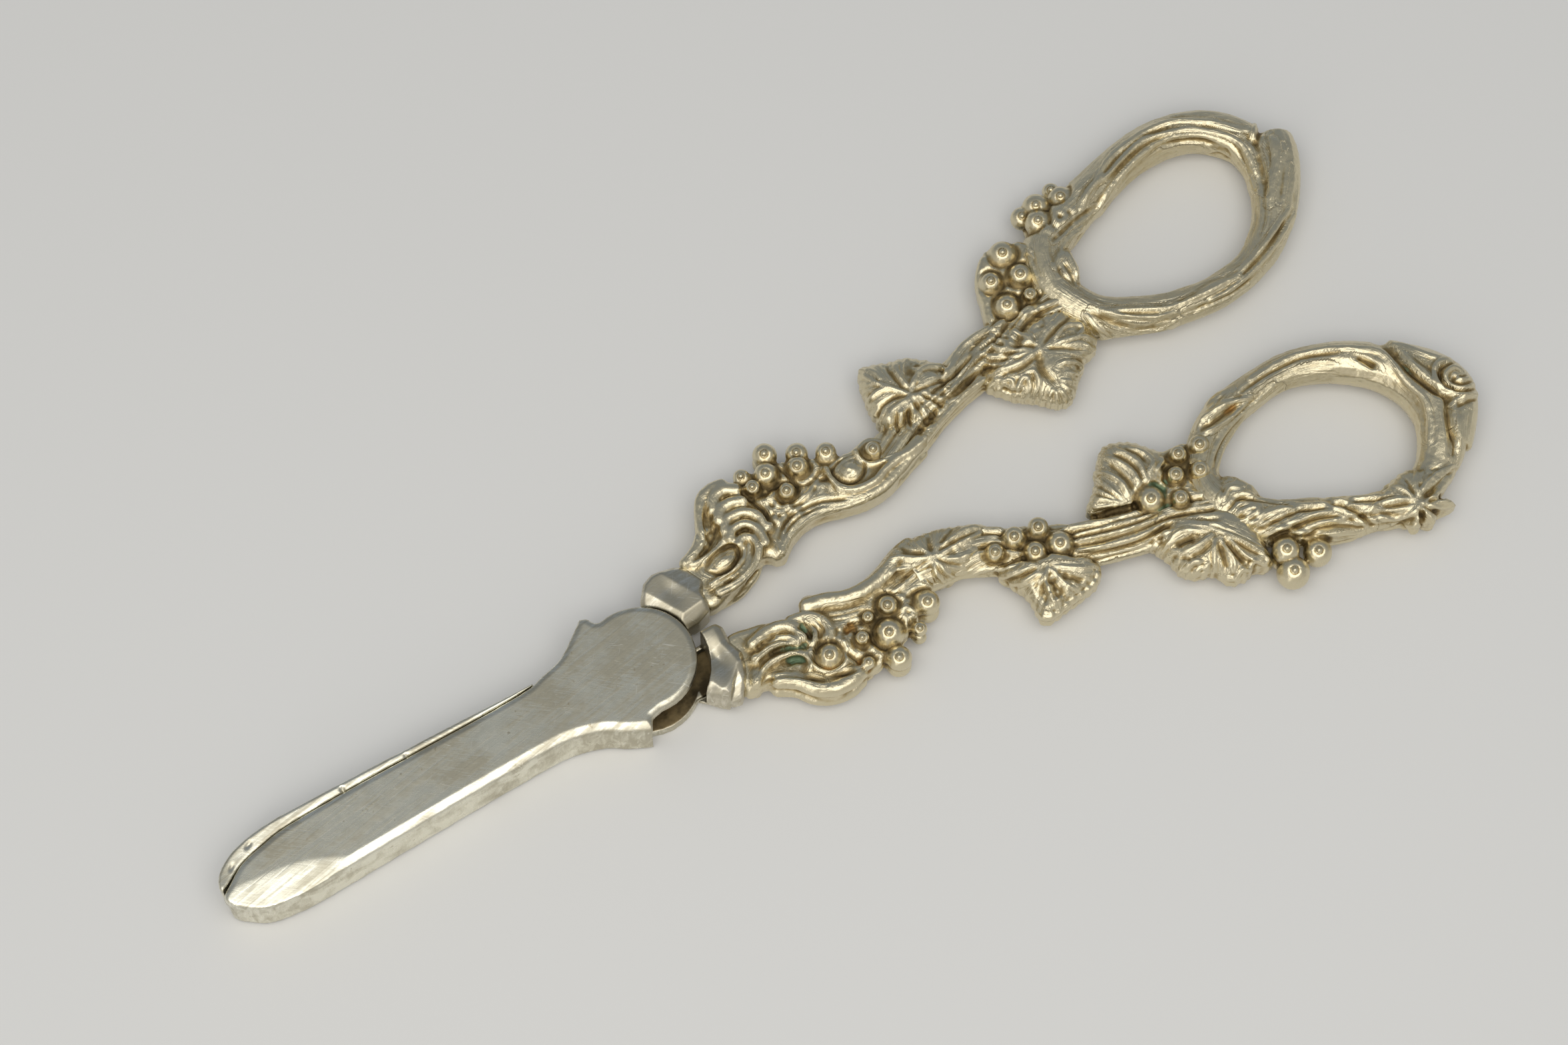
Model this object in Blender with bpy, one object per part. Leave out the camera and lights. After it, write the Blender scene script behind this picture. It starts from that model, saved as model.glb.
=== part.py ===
# Grape shears: two cast halves that cross at one pivot. Metres, +Z up, laid flat and closed.
# Seen from above, the blades point to -X and the finger rings to +X. Each half is built about
# the pivot's axis and carried by an empty that stands on it.
import math

import bmesh
import bpy
from mathutils import Matrix
from mathutils.geometry import convex_hull_2d

# Driving sizes of the whole
blade_length = 0.0616
handle_length = 0.1184
upper_spread = 0.0365
lower_spread = 0.0353
blade_stack = 0.007
seat_gap = 0.0003

# Blades
blade_half_width = 0.0056
plate_thickness = 0.0016
wall_thickness = 0.0013
root_length = 0.013
shoulder_width = 0.0094
edge_rounding = 0.0003
strip_drop = 0.0002
face_step = 0.0001

# Pivot
disc_radius = 0.0075
disc_shift = 0.0005
swing_gap = 0.0003
screw_radius = 0.0015
screw_bite = 0.0037
head_radius = 0.0028
head_depth = 0.0007
head_inset = 0.0001
slot_width = 0.0006
slot_depth = 0.0003
cut_overrun = 0.001

# Bolsters
bolster_reach = 0.0132
bolster_width = 0.0104
bolster_drop = 0.0003
bolster_rounding = 0.0005
shank_length = 0.0105

# Handles
neck_half_depth = 0.0024
neck_rounding = 0.0009
stem_radius = 0.0033
ring_radius = 0.003
scroll_radius = 0.0009
leaf_rim = 0.0009
crown_height = 0.0034
grape_radius = 0.002

# Worked out from the sizes above
mid_height = blade_stack / 2
handle_run = handle_length - bolster_reach
pivot_place = ((blade_length - handle_length) / 2, (lower_spread - upper_spread) / 2, 0)
under_plate = plate_thickness + seat_gap
over_plate = blade_stack - plate_thickness - seat_gap
spreads = {"upper": upper_spread, "lower": lower_spread}

# Depth of a vine or a ring as a share of its width
stem_flat_share = 0.72
ring_flat_share = 0.93

# Blade edges at stations along the blade from its root: along, then across to the upper blade's
# outer edge, to its cutting edge, and to the lower blade's outer edge.
blade_station_shares = (
    (0.967, -0.661, 0.036, 0.446), (0.916, -0.911, 0.286, 0.688), (0.844, -1.018, 0.464, 0.839),
    (0.761, -1.036, 0.589, 0.893), (0.556, -0.964, 0.679, 0.893), (0.35, -0.893, 0.714, 0.875),
    (0.185, -0.848, 0.75, 0.857),
)
upper_tip_share = -0.34
lower_tip_share = 0.11

# Root of the upper blade: its outer edge as far as the disc's rim, and its inner edge back from
# there, along the root's length and across its width. The lower blade's root is turned over.
root_outer_shares = (
    (-1, -0.511), (-0.692, -0.628), (-0.477, -0.809), (-0.262, -0.947), (-0.177, -0.777),
)
root_inner_shares = (
    (-0.2, 0.851), (-0.315, 1), (-0.477, 0.83), (-0.692, 0.628), (-1, 0.489),
)

# Where the disc's rim starts and ends between those edges, in degrees from the handle's direction
rim_start = -100
rim_end = 105
rim_step = 12

# Sides of the shank that runs from the lower disc under its bolster, across the disc's radius
shank_side_shares = (0.1, 0.85)

# Bolsters, along the bolster's reach and across its width
bolster_shares = {
    "upper": (
        (0.318, 0.76), (0.432, 0.942), (0.545, 1), (0.788, 0.981), (0.909, 0.923), (1, 0.644),
        (0.909, 0.481), (0.879, 0.231), (0.727, 0.163), (0.379, 0.144), (0.227, 0.433),
    ),
    "lower": (
        (0.492, 0.019), (0.848, 0.019), (0.894, -0.058), (0.879, -0.288), (0.932, -0.481),
        (0.848, -0.788), (0.697, -0.99), (0.606, -0.971), (0.333, -0.635), (0.273, -0.442),
    ),
}

# Necks, along the handle's run from the bolster and across its spread
neck_shares = {
    "upper": (
        (-0.016, 0.279), (0.008, 0.318), (0.027, 0.367), (0.042, 0.449), (0.055, 0.493), (0.078, 0.501),
        (0.103, 0.485), (0.131, 0.49), (0.16, 0.485), (0.188, 0.435), (0.215, 0.395), (0.236, 0.385),
        (0.25, 0.364), (0.279, 0.381), (0.298, 0.329), (0.298, 0.247), (0.283, 0.175), (0.25, 0.151),
        (0.217, 0.162), (0.174, 0.192), (0.136, 0.175), (0.098, 0.115), (0.084, 0.148), (0.06, 0.137),
        (0.027, 0.096), (-0.016, 0.082),
    ),
    "lower": (
        (-0.016, -0.062), (0.022, -0.059), (0.046, -0.082), (0.076, -0.11), (0.089, -0.059),
        (0.103, -0.054), (0.126, -0.091), (0.155, -0.11), (0.188, -0.093), (0.226, -0.048),
        (0.255, -0.045), (0.26, -0.156), (0.255, -0.272), (0.236, -0.32), (0.205, -0.35),
        (0.178, -0.385), (0.15, -0.42), (0.127, -0.436), (0.098, -0.436), (0.069, -0.456),
        (0.048, -0.425), (0.027, -0.337), (0.002, -0.275), (-0.016, -0.225),
    ),
}

# Scrolls on the necks
scroll_shares = {
    "upper_neck_scroll": (
        (0.012, 0.164), (0.046, 0.153), (0.074, 0.203), (0.087, 0.29), (0.074, 0.367), (0.051, 0.345),
        (0.053, 0.285),
    ),
    "upper_seed_scroll": (
        (0.217, 0.345), (0.215, 0.263), (0.236, 0.222), (0.264, 0.236), (0.283, 0.263),
    ),
    "lower_neck_scroll": (
        (0.002, -0.181), (0.032, -0.252), (0.065, -0.232), (0.074, -0.159), (0.049, -0.122),
        (0.025, -0.147),
    ),
}

# Vines, rings and the branch ends on the rings: along, across, share of the radius
stem_shares = {
    "upper": (
        (0.269, 0.274, 0.939), (0.317, 0.312, 0.939), (0.359, 0.367, 0.909), (0.407, 0.411, 0.939),
        (0.454, 0.447, 0.97), (0.502, 0.474, 1), (0.549, 0.504, 1), (0.597, 0.562, 0.97),
    ),
    "lower": (
        (0.312, -0.198, 1.091), (0.359, -0.275, 1.03),
        (0.407, -0.346, 1), (0.454, -0.399, 1), (0.502, -0.436, 1), (0.549, -0.467, 1),
        (0.606, -0.51, 1),
    ),
}
ring_shares = {
    "upper": (
        (0.603, 0.562, 1.067), (0.62, 0.712, 1.1), (0.668, 0.803, 1.067), (0.73, 0.86, 1),
        (0.797, 0.91, 1), (0.858, 0.91, 1), (0.907, 0.849, 1.033), (0.936, 0.751, 1),
        (0.942, 0.625, 1.033), (0.925, 0.482, 1), (0.892, 0.362, 0.9), (0.844, 0.282, 0.8),
        (0.787, 0.252, 0.8), (0.73, 0.268, 0.833), (0.678, 0.312, 0.933), (0.625, 0.405, 1),
    ),
    "lower": (
        (0.625, -0.527, 1.067), (0.616, -0.397, 1.067), (0.644, -0.275, 0.967), (0.692, -0.198, 0.867),
        (0.749, -0.164, 0.8), (0.806, -0.167, 0.867), (0.863, -0.232, 1), (0.907, -0.337, 1.1),
        (0.932, -0.47, 1.167), (0.933, -0.609, 1.2), (0.911, -0.731, 1.1), (0.871, -0.822, 0.8),
        (0.816, -0.853, 0.73), (0.759, -0.805, 0.9), (0.706, -0.742, 1.1), (0.659, -0.663, 1.1),
    ),
}
branch_shares = {
    "upper": (
        (0.863, 0.318, 0.733), (0.906, 0.395, 0.933), (0.939, 0.51, 1.067), (0.964, 0.63, 1.1),
        (0.977, 0.707, 1),
    ),
    "lower": (
        (0.892, -0.272, 0.867), (0.933, -0.357, 0.933), (0.962, -0.459, 1), (0.971, -0.555, 1.033),
        (0.954, -0.646, 0.967), (0.925, -0.748, 0.867),
    ),
}

# Leaves: the point where the veins meet, then the outline
leaf_shares = {
    "upper_stem_leaf": (
        (0.355, 0.449), (0.32, 0.644), (0.31, 0.589), (0.303, 0.507), (0.3, 0.433), (0.302, 0.373),
        (0.323, 0.345), (0.342, 0.321), (0.354, 0.299), (0.366, 0.321), (0.383, 0.34), (0.401, 0.373),
        (0.413, 0.433), (0.417, 0.482), (0.409, 0.532), (0.388, 0.589), (0.365, 0.608), (0.346, 0.627),
    ),
    "upper_fork_leaf": (
        (0.536, 0.367), (0.449, 0.337), (0.46, 0.4), (0.462, 0.463), (0.477, 0.501), (0.508, 0.526),
        (0.536, 0.488), (0.568, 0.482), (0.597, 0.466), (0.609, 0.4), (0.608, 0.315), (0.599, 0.26),
        (0.578, 0.244), (0.561, 0.197), (0.545, 0.148), (0.53, 0.126), (0.514, 0.142), (0.495, 0.197),
        (0.475, 0.238), (0.462, 0.282),
    ),
    "upper_back_leaf": (
        (0.627, 0.597), (0.614, 0.668), (0.635, 0.69), (0.648, 0.668), (0.646, 0.627), (0.644, 0.581),
        (0.636, 0.537), (0.625, 0.51), (0.608, 0.548), (0.605, 0.614),
    ),
    "lower_stem_leaf": (
        (0.274, -0.159), (0.205, -0.125), (0.228, -0.068), (0.26, -0.048), (0.288, -0.062),
        (0.317, -0.091), (0.346, -0.139), (0.34, -0.187), (0.326, -0.232), (0.305, -0.272),
        (0.283, -0.255), (0.264, -0.269), (0.247, -0.244), (0.24, -0.198), (0.217, -0.176),
    ),
    "lower_fan_leaf": (
        (0.384, -0.414), (0.373, -0.357), (0.355, -0.402), (0.339, -0.467), (0.341, -0.538),
        (0.346, -0.586), (0.378, -0.578), (0.407, -0.567), (0.426, -0.552), (0.44, -0.516),
        (0.439, -0.476), (0.421, -0.439), (0.403, -0.374),
    ),
    "lower_fork_leaf": (
        (0.536, -0.266), (0.466, -0.292), (0.478, -0.249), (0.494, -0.21), (0.507, -0.164),
        (0.519, -0.113), (0.535, -0.085), (0.555, -0.099), (0.573, -0.136), (0.586, -0.184),
        (0.595, -0.227), (0.591, -0.295), (0.564, -0.351), (0.527, -0.368), (0.489, -0.346),
    ),
    "lower_hanging_leaf": (
        (0.589, -0.584), (0.536, -0.487), (0.513, -0.535), (0.52, -0.609), (0.525, -0.688),
        (0.545, -0.725), (0.561, -0.745), (0.57, -0.793), (0.59, -0.824), (0.608, -0.807),
        (0.629, -0.833), (0.637, -0.773), (0.641, -0.691), (0.639, -0.606), (0.611, -0.521),
        (0.578, -0.47), (0.555, -0.47),
    ),
    "lower_back_leaf": (
        (0.641, -0.521), (0.614, -0.538), (0.624, -0.47), (0.643, -0.425), (0.66, -0.462),
        (0.674, -0.53), (0.671, -0.584), (0.652, -0.606), (0.628, -0.595),
    ),
    "lower_ring_leaf": (
        (0.837, -0.867), (0.781, -0.827), (0.801, -0.782), (0.825, -0.759), (0.849, -0.751),
        (0.869, -0.776), (0.892, -0.799), (0.904, -0.836), (0.878, -0.895), (0.871, -0.929),
        (0.875, -0.96), (0.858, -0.997), (0.839, -0.997), (0.82, -0.972), (0.809, -0.929),
        (0.787, -0.887),
    ),
}

# Leaves that fill the casting's depth where they stand, so that stems and rings give way to them
through_leaves = ("upper_back_leaf", "lower_stem_leaf", "lower_back_leaf")

# Levels of a leaf's face: share of the way out to the outline, share of the crown height
leaf_level_shares = ((0.86, 0.7), (0.6, 0.94), (0.2, 1))

# Grapes: along, across, share of the grape radius, and lift, which is 0 for a grape on the middle
# plane and 1 for a pair that reaches the crown height on both faces
grape_shares = {
    "upper_neck_grapes": (
        (0.154, 0.518, 0.9, 0), (0.14, 0.438, 0.95, 1), (0.18, 0.403, 0.8, 1), (0.192, 0.458, 0.8, 0),
        (0.223, 0.408, 0.75, 0), (0.112, 0.477, 0.6, 0),
    ),
    "upper_fork_grapes": (
        (0.534, 0.592, 1, 0.6), (0.535, 0.71, 0.95, 0), (0.572, 0.677, 1, 0.7), (0.571, 0.795, 1.1, 0),
    ),
    "upper_ring_grapes": (
        (0.635, 0.838, 0.95, 0.7), (0.646, 0.915, 1, 0), (0.623, 0.901, 0.85, 0),
        (0.679, 0.882, 0.9, 0), (0.677, 0.942, 0.65, 0),
    ),
    "lower_neck_grapes": (
        (0.167, -0.329, 0.95, 1), (0.159, -0.436, 1, 0), (0.18, -0.252, 0.7, 1),
        (0.224, -0.317, 0.95, 0), (0.2, -0.397, 0.55, 0),
    ),
    "lower_stem_grapes": (
        (0.367, -0.241, 0.75, 1), (0.397, -0.263, 0.8, 1), (0.379, -0.34, 0.75, 1),
        (0.411, -0.365, 0.95, 1),
    ),
    "lower_fork_grapes": (
        (0.544, -0.362, 0.9, 0.9), (0.588, -0.329, 0.6, 1), (0.606, -0.263, 0.6, 1),
        (0.576, -0.422, 0.6, 1),
    ),
    "lower_drop_grapes": (
        (0.652, -0.797, 0.95, 0.8), (0.649, -0.884, 1.15, 0), (0.691, -0.861, 1, 0),
    ),
}


def clear_scene():
    for old in list(bpy.data.objects):
        bpy.data.objects.remove(old, do_unlink=True)


def new_collection(name):
    group = bpy.data.collections.new(name)
    bpy.context.scene.collection.children.link(group)
    return group


clear_scene()
parts = new_collection("grape_shears")
cutters = new_collection("cutters")


def new_material(name, colour, roughness):
    material = bpy.data.materials.new(name)
    material.use_nodes = True
    shader = material.node_tree.nodes["Principled BSDF"]
    shader.inputs["Base Color"].default_value = (*colour, 1)
    shader.inputs["Metallic"].default_value = 1
    shader.inputs["Roughness"].default_value = roughness
    material.diffuse_color = (*colour, 1)
    return material


blade_silver = new_material("blade_silver", (0.6, 0.59, 0.54), 0.32)
cast_silver = new_material("cast_silver", (0.72, 0.67, 0.55), 0.28)
grape_silver = new_material("grape_silver", (0.66, 0.6, 0.46), 0.22)
screw_steel = new_material("screw_steel", (0.5, 0.49, 0.46), 0.35)


def add_object(name, data, group=parts):
    piece = bpy.data.objects.new(name, data)
    group.objects.link(piece)
    return piece


def as_mesh(piece):
    """Replaces an object by a welded mesh of what its curve or modifiers make."""
    bpy.context.view_layer.update()
    graph = bpy.context.evaluated_depsgraph_get()
    mesh = bpy.data.meshes.new_from_object(piece.evaluated_get(graph))
    mesh.transform(piece.matrix_world)
    bm = bmesh.new()
    bm.from_mesh(mesh)
    bmesh.ops.remove_doubles(bm, verts=bm.verts, dist=seat_gap / 100)
    bmesh.ops.recalc_face_normals(bm, faces=bm.faces)
    bm.to_mesh(mesh)
    bm.free()
    name = piece.name
    bpy.data.objects.remove(piece, do_unlink=True)
    mesh.name = name
    return add_object(name, mesh)


def boolean(piece, operation, tool):
    modifier = piece.modifiers.new(tool.name, "BOOLEAN")
    modifier.operation = operation
    modifier.solver = "EXACT"
    modifier.object = tool


def merged(name, pieces):
    """One closed body from several that overlap."""
    first = pieces[0]
    for other in pieces[1:]:
        boolean(first, "UNION", other)
    first = as_mesh(first)
    for other in pieces[1:]:
        bpy.data.objects.remove(other, do_unlink=True)
    first.name = name
    return first


def as_cutter(piece):
    """Hides an object and keeps it for Booleans."""
    parts.objects.unlink(piece)
    cutters.objects.link(piece)
    piece.hide_render = True
    piece.display_type = "WIRE"
    return piece


def grown_copy(piece):
    """A cutter with the piece's shape, larger by the seat gap all round."""
    bpy.context.view_layer.update()
    graph = bpy.context.evaluated_depsgraph_get()
    mesh = bpy.data.meshes.new_from_object(piece.evaluated_get(graph))
    bm = bmesh.new()
    bm.from_mesh(mesh)
    bm.normal_update()
    moves = [vert.normal * min(vert.calc_shell_factor(), math.sqrt(3)) * seat_gap for vert in bm.verts]
    for vert, move in zip(bm.verts, moves):
        vert.co += move
    bm.to_mesh(mesh)
    bm.free()
    return as_cutter(add_object("room_for_" + piece.name, mesh))


def flat_plate(name, outline, bottom, top, rounding=0, smooth=False):
    """A flat solid from a plan outline, its rims rounded."""
    curve = bpy.data.curves.new(name, "CURVE")
    curve.dimensions = "2D"
    curve.fill_mode = "BOTH"
    curve.extrude = (top - bottom) / 2 - rounding
    curve.bevel_depth = rounding
    curve.bevel_resolution = 0
    curve.offset = -rounding
    curve.resolution_u = 2
    spline = curve.splines.new("BEZIER" if smooth else "POLY")
    if smooth:
        spline.bezier_points.add(len(outline) - 1)
        for point, place in zip(spline.bezier_points, outline):
            point.co = (*place, 0)
            point.handle_left_type = "AUTO"
            point.handle_right_type = "AUTO"
    else:
        spline.points.add(len(outline) - 1)
        for point, place in zip(spline.points, outline):
            point.co = (*place, 0, 1)
    spline.use_cyclic_u = True
    plate = add_object(name, curve)
    plate.location.z = (bottom + top) / 2
    return as_mesh(plate)


def round_bar(name, radius, bottom, top, across=0):
    """An upright cylinder, centred across from the pivot."""
    mesh = bpy.data.meshes.new(name)
    bm = bmesh.new()
    place = Matrix.Translation((0, across, (bottom + top) / 2))
    depth = top - bottom
    bmesh.ops.create_cone(
        bm, cap_ends=True, segments=32, radius1=radius, radius2=radius, depth=depth, matrix=place
    )
    bm.to_mesh(mesh)
    bm.free()
    return add_object(name, mesh)


def tube(name, places, radii, flat_share, height, closed=False):
    """A level tube, its depth a share of its width."""
    curve = bpy.data.curves.new(name, "CURVE")
    curve.dimensions = "3D"
    curve.bevel_depth = 1
    curve.bevel_resolution = 3
    curve.resolution_u = 2
    curve.use_fill_caps = True
    spline = curve.splines.new("BEZIER")
    spline.bezier_points.add(len(places) - 1)
    for point, place, radius in zip(spline.bezier_points, places, radii):
        point.co = (*place, 0)
        point.radius = radius
        point.handle_left_type = "AUTO"
        point.handle_right_type = "AUTO"
    spline.use_cyclic_u = closed
    piece = add_object(name, curve)
    piece.scale.z = flat_share
    piece.location.z = height
    return as_mesh(piece)


def handle_place(half, along, across):
    return (bolster_reach + along * handle_run, across * spreads[half])


def handle_outline(half, shares):
    return [handle_place(half, along, across) for along, across in shares]


def blade_x(along):
    return -root_length - along * (blade_length - root_length)


def blade_edge(column, shift=0):
    """One edge of a blade at every station from the tip to the root, moved across by shift."""
    edge = []
    for station in blade_station_shares:
        edge.append((blade_x(station[0]), station[column] * blade_half_width + shift))
    return edge


def root_edge(shares, side):
    """Part of a root's outline, as on the upper blade (side 1) or turned over (side -1)."""
    return [(along * root_length, side * across * shoulder_width) for along, across in shares]


def disc_rim(side, start, end):
    """Points of a disc's rim between two angles, as on the upper disc or turned over."""
    steps = math.ceil((end - start) / rim_step)
    rim = []
    for i in range(steps + 1):
        angle = math.radians(start + (end - start) * i / steps)
        across = disc_shift + disc_radius * math.sin(angle)
        rim.append((disc_radius * math.cos(angle), side * across))
    return rim


def shank_rim():
    """The lower disc's rim with the shank between two stretches of it."""
    near, far = [share * disc_radius for share in shank_side_shares]
    near_angle = math.degrees(math.asin((near - disc_shift) / disc_radius))
    far_angle = math.degrees(math.asin((far - disc_shift) / disc_radius))
    shank = [(shank_length, -near), (shank_length, -far)]
    return disc_rim(-1, rim_start, near_angle) + shank + disc_rim(-1, far_angle, rim_end)


def wall_band(name, edge, near, far, bottom, top):
    """An upright wall along an edge, between two distances from it towards +Y."""
    outer = [(x, y + near) for x, y in edge]
    inner = [(x, y + far) for x, y in edge]
    return flat_plate(name, outer + inner[::-1], bottom, top)


def upper_blade():
    """Top plate, outer wall down to the lower plate, and the pivot boss with its blind hole."""
    tip = [(-blade_length, upper_tip_share * blade_half_width)]
    outer = blade_edge(1)
    cutting = blade_edge(2)
    root_outer = root_edge(root_outer_shares, 1)
    root_inner = root_edge(root_inner_shares, 1)
    rim = disc_rim(1, rim_start, rim_end)
    outline = tip + outer + root_outer + rim + root_inner + cutting[::-1]
    bottom = blade_stack - plate_thickness
    middle = blade_stack - plate_thickness / 2
    plate = flat_plate("plate", outline, bottom, blade_stack, edge_rounding)
    walled = outer + root_outer[:-1]
    wall = wall_band("wall", walled, face_step, wall_thickness, under_plate, middle)
    skirt_far = wall_thickness - face_step
    skirt_top = under_plate + seat_gap
    skirt = wall_band("skirt", outer[1:], 2 * face_step, skirt_far, seat_gap, skirt_top)
    boss_bottom = under_plate - face_step
    boss = round_bar("boss", disc_radius - face_step, boss_bottom, middle - face_step, disc_shift)
    blade = merged("upper_blade", [plate, wall, skirt, boss])
    hole_top = under_plate + screw_bite + seat_gap
    hole = round_bar("screw_hole", screw_radius + seat_gap, under_plate - cut_overrun, hole_top)
    boolean(blade, "DIFFERENCE", as_cutter(hole))
    return blade


def lower_blade():
    """Bottom plate with disc and shank, outer wall, and the strip beside the upper blade's edge."""
    tip = [(-blade_length + seat_gap, lower_tip_share * blade_half_width)]
    outer = blade_edge(3)
    cutting = blade_edge(1, wall_thickness + seat_gap)
    root_outer = root_edge(root_outer_shares, -1)
    root_inner = root_edge(root_inner_shares, -1)
    outline = tip + outer + root_outer + shank_rim() + root_inner + cutting[::-1]
    plate = flat_plate("plate", outline, 0, plate_thickness, edge_rounding)
    middle = plate_thickness / 2
    walled = outer + root_outer[:-1]
    wall = wall_band("wall", walled, -face_step, -wall_thickness, middle, over_plate)
    strip_outline = outer + blade_edge(2, seat_gap)[::-1]
    strip_bottom = over_plate - wall_thickness
    strip = flat_plate("strip", strip_outline, strip_bottom, blade_stack - strip_drop)
    blade = merged("lower_blade", [plate, wall, strip])
    hole = round_bar("pivot_hole", screw_radius + seat_gap, -cut_overrun, under_plate + cut_overrun)
    recess_top = head_inset + head_depth + seat_gap
    recess = round_bar("head_recess", head_radius + seat_gap, -cut_overrun, recess_top)
    boolean(blade, "DIFFERENCE", as_cutter(hole))
    boolean(blade, "DIFFERENCE", as_cutter(recess))
    return blade


def pivot_screw():
    """Slotted screw from below: its head lies in the lower disc, its shank in the upper boss."""
    head_top = head_inset + head_depth
    head = round_bar("head", head_radius, head_inset, head_top)
    shank = round_bar("screw_shank", screw_radius, head_top / 2, under_plate + screw_bite)
    screw = merged("pivot_screw", [head, shank])
    half_length = head_radius + cut_overrun
    half_width = slot_width / 2
    slot_outline = [
        (-half_length, -half_width),
        (half_length, -half_width),
        (half_length, half_width),
        (-half_length, half_width),
    ]
    slot = flat_plate("screw_slot", slot_outline, -cut_overrun, head_inset + slot_depth)
    boolean(screw, "DIFFERENCE", as_cutter(slot))
    return screw


def disc_room(name, side, reach, bottom, top):
    """A cutter round a disc, wider than it by reach."""
    return as_cutter(round_bar(name, disc_radius + reach, bottom, top, side * disc_shift))


def shank_room():
    """A cutter round the shank, the seat gap larger on every side."""
    near, far = [share * disc_radius for share in shank_side_shares]
    right = shank_length + seat_gap
    outline = [(0, seat_gap - near), (right, seat_gap - near), (right, -far - seat_gap), (0, -far - seat_gap)]
    return as_cutter(flat_plate("shank_room", outline, -cut_overrun, under_plate))


def bolster(half, shares):
    """Block between disc and neck, seated on its own disc and clear of the other as that swings."""
    outline = [(along * bolster_reach, across * bolster_width) for along, across in shares]
    name = half + "_bolster"
    block = flat_plate(name, outline, bolster_drop, blade_stack - bolster_drop, bolster_rounding)
    swing_reach = 2 * disc_shift + swing_gap
    above = blade_stack + cut_overrun
    if half == "upper":
        boss_level = under_plate - face_step - seat_gap
        boolean(block, "DIFFERENCE", disc_room("upper_disc_room", 1, seat_gap, boss_level, above))
        room = disc_room("upper_swing_room", 1, swing_reach, -cut_overrun, under_plate - face_step)
        boolean(block, "DIFFERENCE", room)
    else:
        room = disc_room("lower_swing_room", -1, swing_reach, plate_thickness, above)
        boolean(block, "DIFFERENCE", room)
        boolean(block, "DIFFERENCE", disc_room("lower_disc_room", -1, seat_gap, -cut_overrun, under_plate))
        boolean(block, "DIFFERENCE", shank_room())
    return block


def neck(half, shares):
    outline = handle_outline(half, shares)
    bottom = mid_height - neck_half_depth
    top = mid_height + neck_half_depth
    return flat_plate(half + "_neck", outline, bottom, top, neck_rounding, smooth=True)


def scroll(half, name, shares):
    """A band rolled through the neck's whole depth that stands proud of both its faces."""
    places = handle_outline(half, shares)
    tall_share = neck_half_depth / scroll_radius + 1
    return tube(name, places, [scroll_radius] * len(places), tall_share, mid_height)


def vine(half, name, shares, radius, flat_share, closed=False):
    places = [handle_place(half, along, across) for along, across, _ in shares]
    radii = [radius * share for _, _, share in shares]
    return tube(name, places, radii, flat_share, mid_height, closed)


def leaf(half, name, shares):
    """A leaf carved alike on both faces: a thin rim that swells to the crown where the veins meet."""
    centre, *outline = handle_outline(half, shares)
    bm = bmesh.new()
    rim = [bm.verts.new((*place, 0)) for place in outline]
    loop = [bm.edges.new((rim[i - 1], rim[i])) for i in range(len(rim))]
    to_centre = Matrix.Translation((-centre[0], -centre[1], 0))
    levels = [(1, leaf_rim)] + [(out, up * crown_height) for out, up in leaf_level_shares]
    reach = 1
    height = 0
    for out, level in levels:
        grown = bmesh.ops.extrude_edge_only(bm, edges=loop)["geom"]
        verts = [item for item in grown if isinstance(item, bmesh.types.BMVert)]
        new = set(verts)
        edges = [item for item in grown if isinstance(item, bmesh.types.BMEdge)]
        loop = [edge for edge in edges if new.issuperset(edge.verts)]
        bmesh.ops.scale(bm, vec=(out / reach, out / reach, 1), space=to_centre, verts=verts)
        bmesh.ops.translate(bm, vec=(0, 0, level - height), verts=verts)
        reach = out
        height = level
    bmesh.ops.contextual_create(bm, geom=loop)
    bmesh.ops.mirror(bm, geom=bm.verts[:] + bm.edges[:] + bm.faces[:], axis="Z", merge_dist=seat_gap / 100)
    bmesh.ops.translate(bm, vec=(0, 0, mid_height), verts=bm.verts)
    bmesh.ops.recalc_face_normals(bm, faces=bm.faces)
    mesh = bpy.data.meshes.new(name)
    bm.to_mesh(mesh)
    bm.free()
    return add_object(name, mesh)


def grape(name, place, radius, height):
    mesh = bpy.data.meshes.new(name)
    bm = bmesh.new()
    centre = Matrix.Translation((*place, height))
    bmesh.ops.create_uvsphere(bm, u_segments=9, v_segments=5, radius=radius, matrix=centre)
    bm.to_mesh(mesh)
    bm.free()
    return add_object(name, mesh)


def bunch(half, name, shares):
    """Grapes held by a web between them, each raised one with a twin on the other face."""
    places = [handle_place(half, along, across) for along, across, _, _ in shares]
    hull = [places[i] for i in convex_hull_2d(places)]
    bottom = mid_height - neck_half_depth
    pieces = [flat_plate(name + "_web", hull, bottom, mid_height + neck_half_depth)]
    for place, (_, _, size, lift) in zip(places, shares):
        radius = size * grape_radius
        rise = lift * (crown_height - radius)
        for face in (1, -1) if lift else (1,):
            pieces.append(grape(name + "_grape", place, radius, mid_height + face * rise))
    rooms = [grown_copy(piece) for piece in pieces]
    return merged(name, pieces), rooms


def boxes_meet(first, second):
    """Whether the boxes of two objects overlap."""
    low_a, high_a = plan_box(first)
    low_b, high_b = plan_box(second)
    return all(low_a[i] < high_b[i] and low_b[i] < high_a[i] for i in range(3))


def plan_box(piece):
    corners = [corner[:] for corner in piece.bound_box]
    low = [min(corner[i] for corner in corners) for i in range(3)]
    high = [max(corner[i] for corner in corners) for i in range(3)]
    return low, high


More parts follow.
